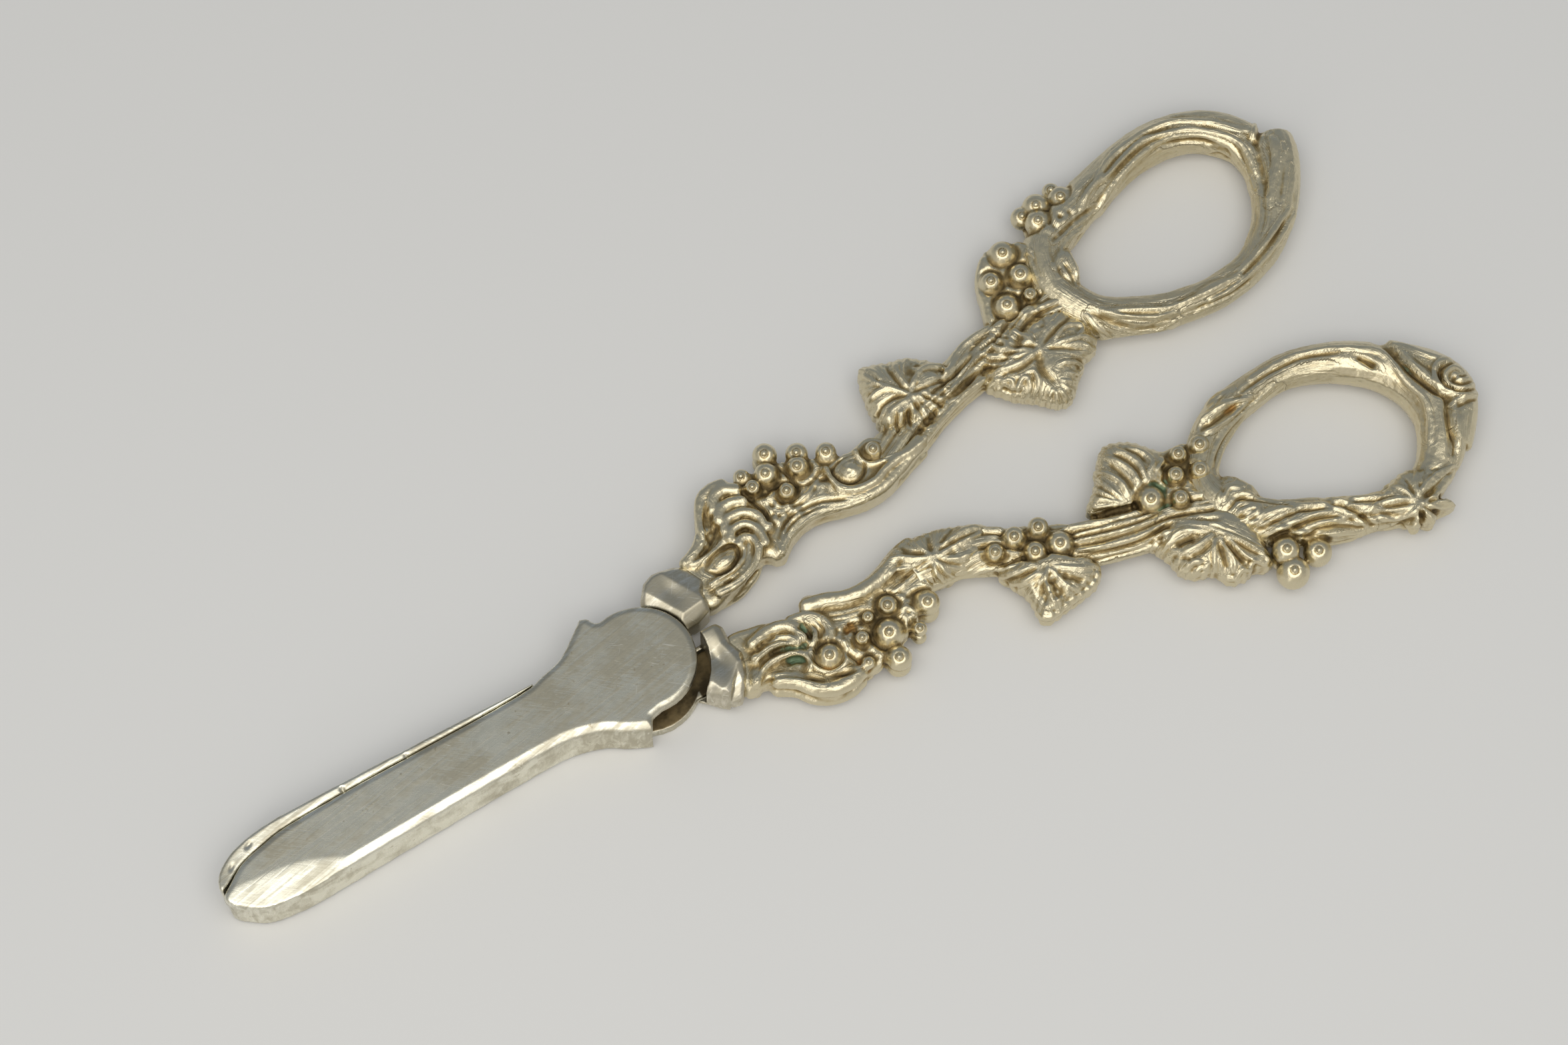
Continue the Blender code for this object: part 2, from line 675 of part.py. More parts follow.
def half_castings(half):
    """The cast pieces of one half's handle, in the order in which they keep their shape."""
    scrolls = [scroll(half, name, shares) for name, shares in scroll_shares.items() if name.startswith(half)]
    leaves = [leaf(half, name, shares) for name, shares in leaf_shares.items() if name.startswith(half)]
    pieces = scrolls + [piece for piece in leaves if piece.name in through_leaves]
    pieces.append(neck(half, neck_shares[half]))
    pieces.append(vine(half, half + "_finger_ring", ring_shares[half], ring_radius, ring_flat_share, True))
    pieces.append(vine(half, half + "_vine_stem", stem_shares[half], stem_radius, stem_flat_share))
    pieces.append(vine(half, half + "_ring_branch", branch_shares[half], ring_radius, ring_flat_share))
    return pieces + [piece for piece in leaves if piece.name not in through_leaves]


def build_half(half):
    """Builds one half, seats each piece on those before it, and hangs all on the pivot."""
    carrier = bpy.data.objects.new(half + "_half", None)
    carrier.location = pivot_place
    parts.objects.link(carrier)
    blade = upper_blade() if half == "upper" else lower_blade()
    block = bolster(half, bolster_shares[half])
    bunches = [bunch(half, name, shares) for name, shares in grape_shares.items() if name.startswith(half)]
    castings = half_castings(half)
    seated = [(block, [grown_copy(block)])] + bunches
    seated += [(casting, [grown_copy(casting)]) for casting in castings]
    earlier = []
    for piece, rooms in seated:
        for room in earlier:
            if boxes_meet(piece, room):
                boolean(piece, "DIFFERENCE", room)
        earlier += rooms
    finish([blade, block], blade_silver, carrier)
    finish([piece for piece, _ in bunches], grape_silver, carrier)
    finish(castings, cast_silver, carrier)
    return carrier


def finish(pieces, material, carrier):
    for piece in pieces:
        piece.data.materials.clear()
        piece.data.materials.append(material)
        piece.data.shade_smooth()
        piece.data.set_sharp_from_angle(angle=math.radians(40))
        piece.parent = carrier


upper_half = build_half("upper")
lower_half = build_half("lower")
finish([pivot_screw()], screw_steel, upper_half)
for cutter in cutters.objects:
    cutter.parent = lower_half
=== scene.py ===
import math

import bmesh
import bpy
import numpy as np
from mathutils import Matrix, Vector


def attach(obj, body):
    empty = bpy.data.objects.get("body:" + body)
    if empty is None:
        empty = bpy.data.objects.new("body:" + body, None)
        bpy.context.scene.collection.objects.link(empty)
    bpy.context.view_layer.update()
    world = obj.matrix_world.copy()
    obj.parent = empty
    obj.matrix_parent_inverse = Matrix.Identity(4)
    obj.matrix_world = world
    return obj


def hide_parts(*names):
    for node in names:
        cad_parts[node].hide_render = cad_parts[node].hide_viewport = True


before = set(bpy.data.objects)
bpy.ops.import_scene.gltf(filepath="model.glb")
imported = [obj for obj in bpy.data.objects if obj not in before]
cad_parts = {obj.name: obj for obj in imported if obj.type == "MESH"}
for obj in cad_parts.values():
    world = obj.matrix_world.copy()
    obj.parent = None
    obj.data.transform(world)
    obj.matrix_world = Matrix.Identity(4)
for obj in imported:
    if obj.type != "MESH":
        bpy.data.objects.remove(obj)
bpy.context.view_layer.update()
print("frame loaded,", len(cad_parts), "solids")

whole = {
    "pivotAlong": -28.4,
    "pivotAcross": -0.6,
    "millimetre": 0.001,
    "thickness": 7.0,
    "middle": 3.5,  # height of the castings' middle plane
    "viewLean": (0.187, 0.365),  # how far a raised place is seen to move, for 1 of height
    "viewLevel": 4.0,  # height of the level that the marks are drawn on
    "discCentre": 0.5,  # how far each disc's centre stands from the pivot, towards its own side
}
# lengths of the straight steps in each kind of smooth line
steps = {"cord": 0.4, "leaf": 0.45, "stroke": 0.5, "plate": 0.7, "edge": 0.8, "stem": 1.0, "wall": 1.0}


def curvePath(points, step, closed=False):  # a smooth run through the points, all columns alike
    rows = np.array(points, float)
    count = len(rows)
    spans = count if closed else count - 1
    path = []
    for i in range(spans):
        if closed:
            a, b, c, d = (rows[(i + k) % count] for k in (-1, 0, 1, 2))
        else:
            a, b, c, d = (rows[min(max(i + k, 0), count - 1)] for k in (-1, 0, 1, 2))
        parts = max(1, math.ceil(np.linalg.norm((c - b)[:2]) / step))
        for k in range(parts):
            t = k / parts
            bend = 2 * b + (c - a) * t + (2 * a - 5 * b + 4 * c - d) * t * t + (3 * b - a - 3 * c + d) * t ** 3
            path.append(bend / 2)
    if not closed:
        path.append(rows[-1])
    return np.array(path)


def framePlace(along, across, height=0):  # from millimetres at the pivot to metres in the frame
    size = whole["millimetre"]
    return (along + whole["pivotAlong"]) * size, (across + whole["pivotAcross"]) * size, height * size


def newObject(name, data):
    item = bpy.data.objects.new(name, data)
    bpy.context.scene.collection.objects.link(item)
    return item


def takeMesh(item):  # the mesh that an object's curve or modifiers make
    bpy.context.view_layer.update()
    graph = bpy.context.evaluated_depsgraph_get()
    mesh = bpy.data.meshes.new_from_object(item.evaluated_get(graph))
    bpy.data.objects.remove(item, do_unlink=True)
    return mesh


def meshFrom(bm, name="work"):
    mesh = bpy.data.meshes.new(name)
    bm.to_mesh(mesh)
    bm.free()
    return mesh


def joined(meshes):
    bm = bmesh.new()
    for mesh in meshes:
        bm.from_mesh(mesh)
        bpy.data.meshes.remove(mesh)
    return bm


def voxelMesh(name, bm, voxel, settling=0):  # one closed skin round all that bm holds
    work = newObject(name, meshFrom(bm, name))
    remesh = work.modifiers.new("voxels", "REMESH")
    remesh.mode = "VOXEL"
    remesh.voxel_size = voxel
    if settling:
        work.modifiers.new("settle", "SMOOTH").iterations = settling
    return takeMesh(work)


def aboutMiddle(share):  # scales heights about the castings' middle plane
    down = Matrix.Translation((0, 0, -whole["middle"]))
    return Matrix.Translation((0, 0, whole["middle"])) @ Matrix.Diagonal((1, 1, share, 1)) @ down


def tubeMesh(path, depthShare=1, closed=False):  # rows of along, across, height, radius
    curve = bpy.data.curves.new("tube", "CURVE")
    curve.dimensions = "3D"
    curve.bevel_depth = 1
    curve.bevel_resolution = 5
    curve.use_fill_caps = True
    spline = curve.splines.new("POLY")
    spline.points.add(len(path) - 1)
    for point, (along, across, height, radius) in zip(spline.points, path):
        point.co = (along, across, height, 1)
        point.radius = radius
    spline.use_cyclic_u = closed
    mesh = takeMesh(newObject("tube", curve))
    if depthShare != 1:
        mesh.transform(aboutMiddle(depthShare))
    return mesh


def ballMesh(balls):  # rows of along, across, height, radius, and the stretch along and across
    bm = bmesh.new()
    for along, across, height, radius, *stretch in balls:
        wide, deep = stretch or (1, 1)
        place = Matrix.Translation((along, across, height)) @ Matrix.Diagonal((wide, deep, 1, 1))
        bmesh.ops.create_icosphere(bm, subdivisions=3, radius=radius, matrix=place)
    return meshFrom(bm)


def plateMesh(outline, bottom, top, rounding=0, hole=()):  # a rounded plate also gets a smooth outline
    if rounding:
        outline = curvePath(outline, steps["plate"], closed=True)
    curve = bpy.data.curves.new("plate", "CURVE")
    curve.dimensions = "2D"
    curve.fill_mode = "BOTH"
    curve.extrude = (top - bottom) / 2 - rounding
    curve.bevel_depth = rounding
    curve.bevel_resolution = 3
    curve.offset = -rounding
    for ring in (outline, hole):
        if not len(ring):
            continue
        spline = curve.splines.new("POLY")
        spline.points.add(len(ring) - 1)
        for point, place in zip(spline.points, ring):
            point.co = (place[0], place[1], 0, 1)
        spline.use_cyclic_u = True
    mesh = takeMesh(newObject("plate", curve))
    mesh.transform(Matrix.Translation((0, 0, (bottom + top) / 2)))
    return mesh


leafForm = {
    "toothShare": 0.022,  # how far the rim steps in between its teeth
    "toothPoints": 3,
    # reach from the crown, as a share of the rim's, and height above the middle plane
    "levels": ((1, 0.9), (0.95, 1.35), (0.86, 2.1), (0.7, 2.6), (0.5, 2.85), (0.25, 2.95), (0.05, 3.0)),
}


def leafMesh(centre, outline):  # a rim that swells to the crown where the veins meet
    bm = bmesh.new()
    rim = []
    for k, (x, y) in enumerate(curvePath(outline, steps["leaf"], closed=True)):
        tooth = 1 - leafForm["toothShare"] * (k % leafForm["toothPoints"])
        place = (centre[0] + (x - centre[0]) * tooth, centre[1] + (y - centre[1]) * tooth, whole["middle"])
        rim.append(bm.verts.new(place))
    loop = [bm.edges.new((rim[i - 1], rim[i])) for i in range(len(rim))]
    toCentre = Matrix.Translation((-centre[0], -centre[1], 0))
    reach, height = 1, 0
    for out, level in leafForm["levels"]:
        grown = bmesh.ops.extrude_edge_only(bm, edges=loop)["geom"]
        verts = [item for item in grown if isinstance(item, bmesh.types.BMVert)]
        new = set(verts)
        loop = [item for item in grown if isinstance(item, bmesh.types.BMEdge) and new.issuperset(item.verts)]
        bmesh.ops.scale(bm, vec=(out / reach, out / reach, 1), space=toCentre, verts=verts)
        bmesh.ops.translate(bm, vec=(0, 0, level - height), verts=verts)
        reach, height = out, level
    bmesh.ops.contextual_create(bm, geom=loop)
    return meshFrom(bm)


def vineMesh(points, depthShare, closed=False):  # rows of along, across, radius
    path = curvePath(points, steps["stem"], closed)
    flat = np.column_stack([path[:, :2], np.full(len(path), whole["middle"]), path[:, 2]])
    return tubeMesh(flat, depthShare, closed)


def cordMesh(height, radius, points):  # a round-ended raised band
    flat = curvePath(points, steps["cord"])
    path = np.column_stack([flat[:, :2], np.full(len(flat), height), np.full(len(flat), radius)])
    return meshFrom(joined([tubeMesh(path), ballMesh([path[0], path[-1]])]))


grapeForm = {
    "top": 3.4,  # height of a fully raised grape above the middle plane
    "clearGap": 0.35,  # width over which the relief comes in beyond a grape's skin
    "clearStart": 0.4,  # and where it starts, as a share of that width
    "moatDepth": 0.3,
    "moatPlace": 0.4,
    "moatWidth": 0.5,
    "dotShare": 0.3,  # the dot's radius as a share of the grape's, and the most that it may be
    "dotMost": 0.4,
    "dotSide": (-0.17, -0.2, 0.95),
    "dotReach": 0.97,
    "dotSink": 0.04,
    "dotTop": 3.48,
    "ringPlace": 1.5,  # the ring's radius and width, as shares of the dot's radius
    "ringWidth": 0.8,
    "ringDepth": 0.1,
    "ringTarnish": 0.7,
}


def grapeMesh(along, across, radius, lift):
    return ballMesh([(along, across, whole["middle"] + lift * (grapeForm["top"] - radius), radius)])


def ovalMesh(*row):
    return ballMesh([row])


def castMeshes(form):  # a casting's parts, in the order in which its dictionary lists them
    makers = {"vines": vineMesh, "plates": plateMesh, "leaves": leafMesh, "grapes": grapeMesh,
              "cords": cordMesh, "ovals": ovalMesh}
    return [makers[kind](*row) for kind, rows in form.items() if kind in makers for row in rows]


scatter = (73856093, 19349663, 83492791, 2654435, 1274126177)  # large odd numbers that mix the keys below


def latticeNoise(places, size, seed):  # smooth random values from -1 to 1, one bump for each size
    spots = places / size
    cell = np.floor(spots).astype(np.int64)
    part = spots - cell
    part = part * part * (3 - 2 * part)
    total = np.zeros(len(places))
    for corner in range(8):
        step = np.array([corner & 1, corner >> 1 & 1, corner >> 2 & 1])
        mix = cell + step
        key = seed * scatter[3]
        for axis in range(3):
            key = key ^ (mix[:, axis] * scatter[axis])
        key = (key ^ (key >> 13)) * scatter[4] & 0x7FFFFFFF
        value = (key % 65536) / 32767.5 - 1
        weight = np.where(step, part, 1 - part).prod(1)
        total += value * weight
    return total


def alongPath(spots, path):  # distance to a path, place along it, its length, and signed side
    start = path[:-1]
    run = path[1:] - start
    long = np.maximum((run ** 2).sum(1), 1e-9)
    offset = spots[:, None] - start[None]
    t = np.clip((offset * run).sum(2) / long, 0, 1)
    gap = offset - t[..., None] * run
    far = (gap ** 2).sum(2)
    nearest = far.argmin(1)
    pick = np.arange(len(spots))
    lengths = np.concatenate([[0], np.cumsum(np.sqrt(long))])
    along = lengths[nearest] + t[pick, nearest] * np.sqrt(long)[nearest]
    turn = run[nearest, 0] * offset[pick, nearest, 1] - run[nearest, 1] * offset[pick, nearest, 0]
    return np.sqrt(far[pick, nearest]), along, lengths[-1], np.sign(turn)


def nearRows(spots, path, reach):  # the places that lie in the box round a path
    low, high = path.min(0) - reach, path.max(0) + reach
    return np.nonzero(((spots > low) & (spots < high)).all(1))[0]


castForm = {
    "voxel": 0.2,
    "settling": 3,
    "normalRounds": 6,
    "lastSettling": 0.35,
    "topLimit": 3.42,  # most that a casting rises from the middle plane
    "topSoftness": 0.5,
    "ribShare": 0.72,  # shares of the strokes' heights that are raised and cut
    "grooveShare": 0.62,
    "endShare": 0.25,  # share of a stroke's length over which its end fades, and the height left there
    "endHeight": 0.3,
    "flowReach": 1.6,  # how far from a stroke the fine lines still follow it
    "pitEdge": 1.6,  # how steeply a patch of rough ground fades out
    "pitSeed": 7,
    "roughness": 0.03,
    "roughSizes": (1.1, 0.5),
    "roughOnGrapes": 0.4,
    "hollow": (90, 0.55),  # rounds of settling that find hollows and creases, and their full depth
    "crease": (8, 0.09),
}


def strokeLift(seen, marks):  # raised ribs and cut grooves: height, width, roundness, points
    lift = np.zeros(len(seen))
    flow = np.zeros((len(seen), 3))  # place along and across the nearest stroke, and how near that is
    flowReach = castForm["flowReach"]
    closest = np.full(len(seen), flowReach)
    for height, width, roundness, points in marks:
        path = curvePath(points, steps["stroke"])[:, :2]
        near = nearRows(seen, path, max(width, flowReach))
        if not len(near):
            continue
        gap, along, length, side = alongPath(seen[near], path)
        toEnd = np.minimum(along, length - along) / (castForm["endShare"] * length)
        ends = np.clip(toEnd + castForm["endHeight"], 0, 1)
        lift[near] += height * ends * np.clip(1 - (gap / width) ** 2, 0, 1) ** roundness
        nearer = gap < closest[near]
        rows = near[nearer]
        closest[rows] = gap[nearer]
        flow[rows, 0] = along[nearer] + path[0].sum()
        flow[rows, 1] = gap[nearer] * side[nearer]
        flow[rows, 2] = np.clip(2 - 2 * gap[nearer] / flowReach, 0, 1)
    return lift, flow


barkForm = {
    "wander": 0.35,
    "wanderSize": 6,
    "ridge": 0.6,  # even ridges, a second set that beats with them, and broken ones
    "secondRidge": 0.5,
    "secondCount": 1.7,
    "secondTurn": 1.3,
    "brokenRidge": 0.7,
    "brokenSize": 0.5,
    "brokenScale": (0.12, 3),  # along and round the stem
    "lowest": -1.3,
    "highest": 0.7,
    "sideFade": 0.6,
    "endFade": 1.5,
}


def barkLift(co, barks, flow):  # ridges that run round a stem: path, reach, depth, count, seed
    lift = np.zeros(len(co))
    form = barkForm
    for points, reach, depth, count, seed in barks:
        path = curvePath(points, steps["stem"])[:, :2]
        near = nearRows(co[:, :2], path, reach)
        gap, along, length, side = alongPath(co[near, :2], path)
        around = np.arctan2(np.abs(co[near, 2] - whole["middle"]), gap * side)
        flat = np.zeros(len(near))
        wander = latticeNoise(np.column_stack([along, flat, flat]), form["wanderSize"], seed)
        wave = around + wander * form["wander"]
        ridges = form["ridge"] * np.cos(count * wave)
        ridges += form["secondRidge"] * np.cos((count * form["secondCount"]) * wave + form["secondTurn"])
        row = np.column_stack([along * form["brokenScale"][0], wave * form["brokenScale"][1], flat])
        ridges += form["brokenRidge"] * latticeNoise(row, form["brokenSize"], seed + 5)
        fade = np.clip((reach - gap) / form["sideFade"], 0, 1)
        fade *= np.clip(np.minimum(along, length - along) / form["endFade"], 0, 1)
        lift[near] += depth * fade * np.clip(ridges, form["lowest"], form["highest"])
        new = fade > flow[near, 2]
        flow[near[new]] = np.column_stack([along[new], wave[new] * reach, fade[new]])
    return lift


def meshArrays(mesh):
    co = np.empty(len(mesh.vertices) * 3)
    mesh.vertices.foreach_get("co", co)
    normal = np.empty(len(mesh.vertices) * 3)
    mesh.vertices.foreach_get("normal", normal)
    edges = np.empty(len(mesh.edges) * 2, np.int32)
    mesh.edges.foreach_get("vertices", edges)
    return co.reshape(-1, 3), normal.reshape(-1, 3), edges.reshape(-1, 2)


def relaxed(values, edges, rounds, strength=0.5):
    count = len(values)
    first, second = edges[:, 0], edges[:, 1]
    shares = np.maximum(np.bincount(first, minlength=count) + np.bincount(second, minlength=count), 1)
    values = values.copy()
    for _ in range(rounds):
        for axis in range(values.shape[1]):
            column = values[:, axis]
            total = np.bincount(first, column[second], count) + np.bincount(second, column[first], count)
            values[:, axis] += strength * (total / shares - column)
    return values


def addValues(mesh, name, values):
    layer = mesh.attributes.new(name, "FLOAT", "POINT")
    layer.data.foreach_set("value", values.astype(np.float32))


def hollowValues(co, normal, edges, rounds, depth):  # 0 on a crest, 1 in a hollow, 0.5 on the level
    settled = relaxed(co, edges, rounds)
    return np.clip(0.5 + ((settled - co) * normal).sum(1) / (2 * depth), 0, 1)


def foldedView(co):  # where a place on either face is seen on the level that the marks are drawn on
    rise = np.abs(co[:, 2] - whole["middle"]) + whole["middle"] - whole["viewLevel"]
    return co[:, :2] + rise[:, None] * np.array(whole["viewLean"])


def setPlaces(mesh, co):
    mesh.vertices.foreach_set("co", co.ravel())
    mesh.update()


def finished(name, mesh, material):  # the object, put in the frame, with its one material
    size = whole["millimetre"]
    mesh.transform(Matrix.Translation(framePlace(0, 0)) @ Matrix.Diagonal((size, size, size, 1)))
    mesh.materials.clear()
    mesh.materials.append(material)
    mesh.shade_smooth()
    print(name, "has", sum(len(face.vertices) - 2 for face in mesh.polygons), "triangles")
    return newObject(name, mesh)


def pressedRise(rise):  # heights above the middle plane, softly kept under the limit
    soft = castForm["topSoftness"]
    start = castForm["topLimit"] - soft
    over = np.maximum(np.abs(rise) - start, 0)
    return np.sign(rise) * (np.minimum(np.abs(rise), start) + soft * np.tanh(over / soft))


def grapeDots(grapes):  # the dot at the end of each grape, on both faces: place and radius
    dots = []
    point = Vector(grapeForm["dotSide"]).normalized()
    for along, across, radius, lift in grapes:
        dot = min(grapeForm["dotMost"], grapeForm["dotShare"] * radius)
        rise = float(pressedRise(lift * (grapeForm["top"] - radius) + point.z * radius)) - grapeForm["dotSink"]
        rise = min(rise, grapeForm["dotTop"] - dot)
        reach = radius * grapeForm["dotReach"]
        for side in (1, -1):
            dots.append((along + point.x * reach, across + point.y * reach, whole["middle"] + side * rise, dot))
    return dots


def gapTo(co, along, across, height):
    return np.sqrt((co[:, 0] - along) ** 2 + (co[:, 1] - across) ** 2 + (co[:, 2] - height) ** 2)


def castRelief(co, form):  # how far each place is raised, and the flow of its fine lines
    seen = foldedView(co)
    lift, flow = strokeLift(seen, form["marks"])
    lift *= np.where(lift > 0, castForm["ribShare"], castForm["grooveShare"])
    lift += barkLift(co, form.get("barks", ()), flow)
    for along, across, reach, depth, size in form["pits"]:  # patches of rough ground between the grapes
        gap = np.hypot(seen[:, 0] - along, seen[:, 1] - across)
        near = np.clip(castForm["pitEdge"] - castForm["pitEdge"] * gap / reach, 0, 1)
        lift += near * depth * latticeNoise(co, size, int(along * castForm["pitSeed"]))
    folded = np.column_stack([co[:, :2], np.abs(co[:, 2] - whole["middle"])])
    skinGap = np.full(len(co), np.inf)
    for along, across, radius, up in form["grapes"]:
        skinGap = np.minimum(skinGap, gapTo(folded, along, across, up * (grapeForm["top"] - radius)) - radius)
    clear = np.clip(skinGap / grapeForm["clearGap"] - grapeForm["clearStart"], 0, 1)
    flow[:, 2] *= clear
    moat = np.clip(1 - np.abs(skinGap - grapeForm["moatPlace"]) / grapeForm["moatWidth"], 0, 1)
    lift = lift * clear - grapeForm["moatDepth"] * moat  # the grapes stay smooth, in a shallow moat
    coarse, fine = castForm["roughSizes"]
    rough = latticeNoise(co, coarse, 3) + latticeNoise(co, fine, 4)
    onGrapes = castForm["roughOnGrapes"]
    lift += castForm["roughness"] * rough * (onGrapes + (1 - onGrapes) * clear)
    return lift, flow


def castPiece(name, body, solids, material, form):
    bm = joined(castMeshes(form))
    under = bm.copy()
    bmesh.ops.transform(under, matrix=aboutMiddle(-1), verts=under.verts)
    bmesh.ops.reverse_faces(under, faces=under.faces)
    bm.from_mesh(meshFrom(under))
    mesh = voxelMesh(name, bm, castForm["voxel"], castForm["settling"])
    co, normal, edges = meshArrays(mesh)
    soft = relaxed(normal, edges, castForm["normalRounds"])
    soft /= np.maximum(np.linalg.norm(soft, axis=1, keepdims=True), 1e-6)
    lift, flow = castRelief(co, form)
    co = co + soft * lift[:, None]
    co[:, 2] = whole["middle"] + pressedRise(co[:, 2] - whole["middle"])
    co = relaxed(co, edges, 1, castForm["lastSettling"])
    dots = grapeDots(form["grapes"])
    ring = np.zeros(len(co))  # the ring cut round each dot
    for *place, dot in dots:
        off = np.abs(gapTo(co, *place) - grapeForm["ringPlace"] * dot)
        ring = np.maximum(ring, np.clip(1 - off / (grapeForm["ringWidth"] * dot), 0, 1))
    co -= soft * (grapeForm["ringDepth"] * ring)[:, None]
    setPlaces(mesh, co)
    co, normal, edges = meshArrays(mesh)
    hollow = hollowValues(co, normal, edges, *castForm["hollow"])
    addValues(mesh, "hollow", np.maximum(hollow, grapeForm["ringTarnish"] * ring))
    addValues(mesh, "crease", np.maximum(hollowValues(co, normal, edges, *castForm["crease"]), ring))
    for column, title in enumerate(("flowAlong", "flowAcross", "flowShare")):
        addValues(mesh, title, flow[:, column])
    bm = bmesh.new()
    bm.from_mesh(mesh)
    for *place, dot in dots:
        bmesh.ops.create_icosphere(bm, subdivisions=2, radius=dot, matrix=Matrix.Translation(place))
    bm.to_mesh(mesh)
    bm.free()
    piece = finished(name, mesh, material)
    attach(piece, body)
    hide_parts(*solids)


class Shade:  # a socket of a material's tree
    def __init__(self, tree, socket=None):
        self.tree = tree
        self.socket = socket

    def node(self, kind, settings=None, inputs=None, output=0):
        made = self.tree.nodes.new("ShaderNode" + kind)
        for key, value in (settings or {}).items():
            if key == "stops":
                ramp = made.color_ramp
                while len(ramp.elements) < len(value):
                    ramp.elements.new(0.5)
                for element, (position, colour) in zip(ramp.elements, value):
                    element.position = position
                    element.color = (*colour, 1)
            else:
                setattr(made, key, value)
        for key, value in (inputs or {}).items():
            if isinstance(value, Shade):
                self.tree.links.new(value.socket, made.inputs[key])
            else:
                made.inputs[key].default_value = value
        return Shade(self.tree, made.outputs[output])

    def maths(self, operation, first, second=0.0, clamp=False):
        return self.node("Math", {"operation": operation, "use_clamp": clamp}, {0: first, 1: second})

    def __add__(self, other):
        return self.maths("ADD", self, other)

    __radd__ = __add__

    def __sub__(self, other):
        return self.maths("SUBTRACT", self, other)

    def __rsub__(self, other):
        return self.maths("SUBTRACT", other, self)

    def __mul__(self, other):
        return self.maths("MULTIPLY", self, other)

    __rmul__ = __mul__

    def clamped(self):
        return self.maths("ADD", self, 0.0, clamp=True)

    def swing(self, share):  # a pattern's swing about its middle
        return (self - 0.5) * share

    def between(self, low, high):  # 0 below low, 1 above high, smooth between
        settings = {"interpolation_type": "SMOOTHSTEP"}
        return self.node("MapRange", settings, {"Value": self, "From Min": low, "From Max": high})

    def blend(self, first, second):  # colours mixed by this mask
        settings = {"data_type": "RGBA"}
        fill = {0: self}
        for key, colour in ((6, first), (7, second)):
            fill[key] = colour if isinstance(colour, Shade) else (*colour, 1)
        return self.node("Mix", settings, fill, output=2)

    def noise(self, scale, detail, **more):
        return self.node("TexNoise", None, {"Vector": self, "Scale": scale, "Detail": detail, **more})

    def attribute(self, name):
        return self.node("Attribute", {"attribute_name": name}, output=2)

    def scaled(self, along, across, height):
        return self.node("VectorMath", {"operation": "MULTIPLY"}, {0: self, 1: (along, across, height)})

    def gapTo(self, place):
        return self.node("VectorMath", {"operation": "DISTANCE"}, {0: self, 1: place}, output=1)

    def plug(self, shader, key):
        self.tree.links.new(self.socket, shader.inputs[key])


def newMaterial(name, metallic=1.0):
    material = bpy.data.materials.new(name)
    material.use_nodes = True
    shader = material.node_tree.nodes["Principled BSDF"]
    shader.inputs["Metallic"].default_value = metallic
    return material, shader


castLook = {
    "bright": (0.73, 0.655, 0.46),
    "warm": (0.57, 0.47, 0.27),
    "brown": (0.34, 0.255, 0.12),
    "dark": (0.12, 0.088, 0.042),
    "warmRange": (0.42, 0.72),  # depths of tarnish over which each colour comes in
    "brownRange": (0.58, 0.88),
    "darkRange": (0.84, 1.2),
    "cloudScale": 260.0,
    "grainScale": 1500.0,
    "creaseShare": 0.55,  # what each pattern adds to the hollows
    "cloudShare": 0.35,
    "grainShare": 0.22,
    "patches": (  # colour, then places and reach
        ((0.42, 0.24, 0.075), [
            (19, -6, 1.0), (21, -13, 1.2), (25, -14.5, 1.4), (83, -6.5, 1.7), (87, -6.8, 1.6), (84, 29.3, 1.3),
            (79.8, 23.5, 1.3), (105, -28, 1.2), (109, -29.5, 1.0), (84, -30, 1.5), (26, -8.5, 1.2)]),
        ((0.17, 0.26, 0.165), [
            (18.5, -8.5, 1.7), (20.8, -5.5, 0.8), (71.5, -12.8, 1.9), (70.9, -15, 1.3), (111.7, -14, 1.3)]),
    ),
    "patchLevel": 5,
    "patchRange": (0.2, 0.9),
    "patchCloud": 2.0,
    "patchGrain": 1.4,
    "patchHollow": 2.0,
    "patchFloor": 0.6,
    "patchShare": 0.8,
    "roughness": 0.3,
    "brownRoughness": 0.28,
    "grainRoughness": 0.16,
    "fibreScale": (0.35, 3.2),  # along the nearest stroke and across it
    "fibreBump": 1.7,
    "grainBump": 0.9,
    "cloudBump": 1.1,
    "bumpStrength": 0.85,
    "bumpDepth": 0.0001,
}


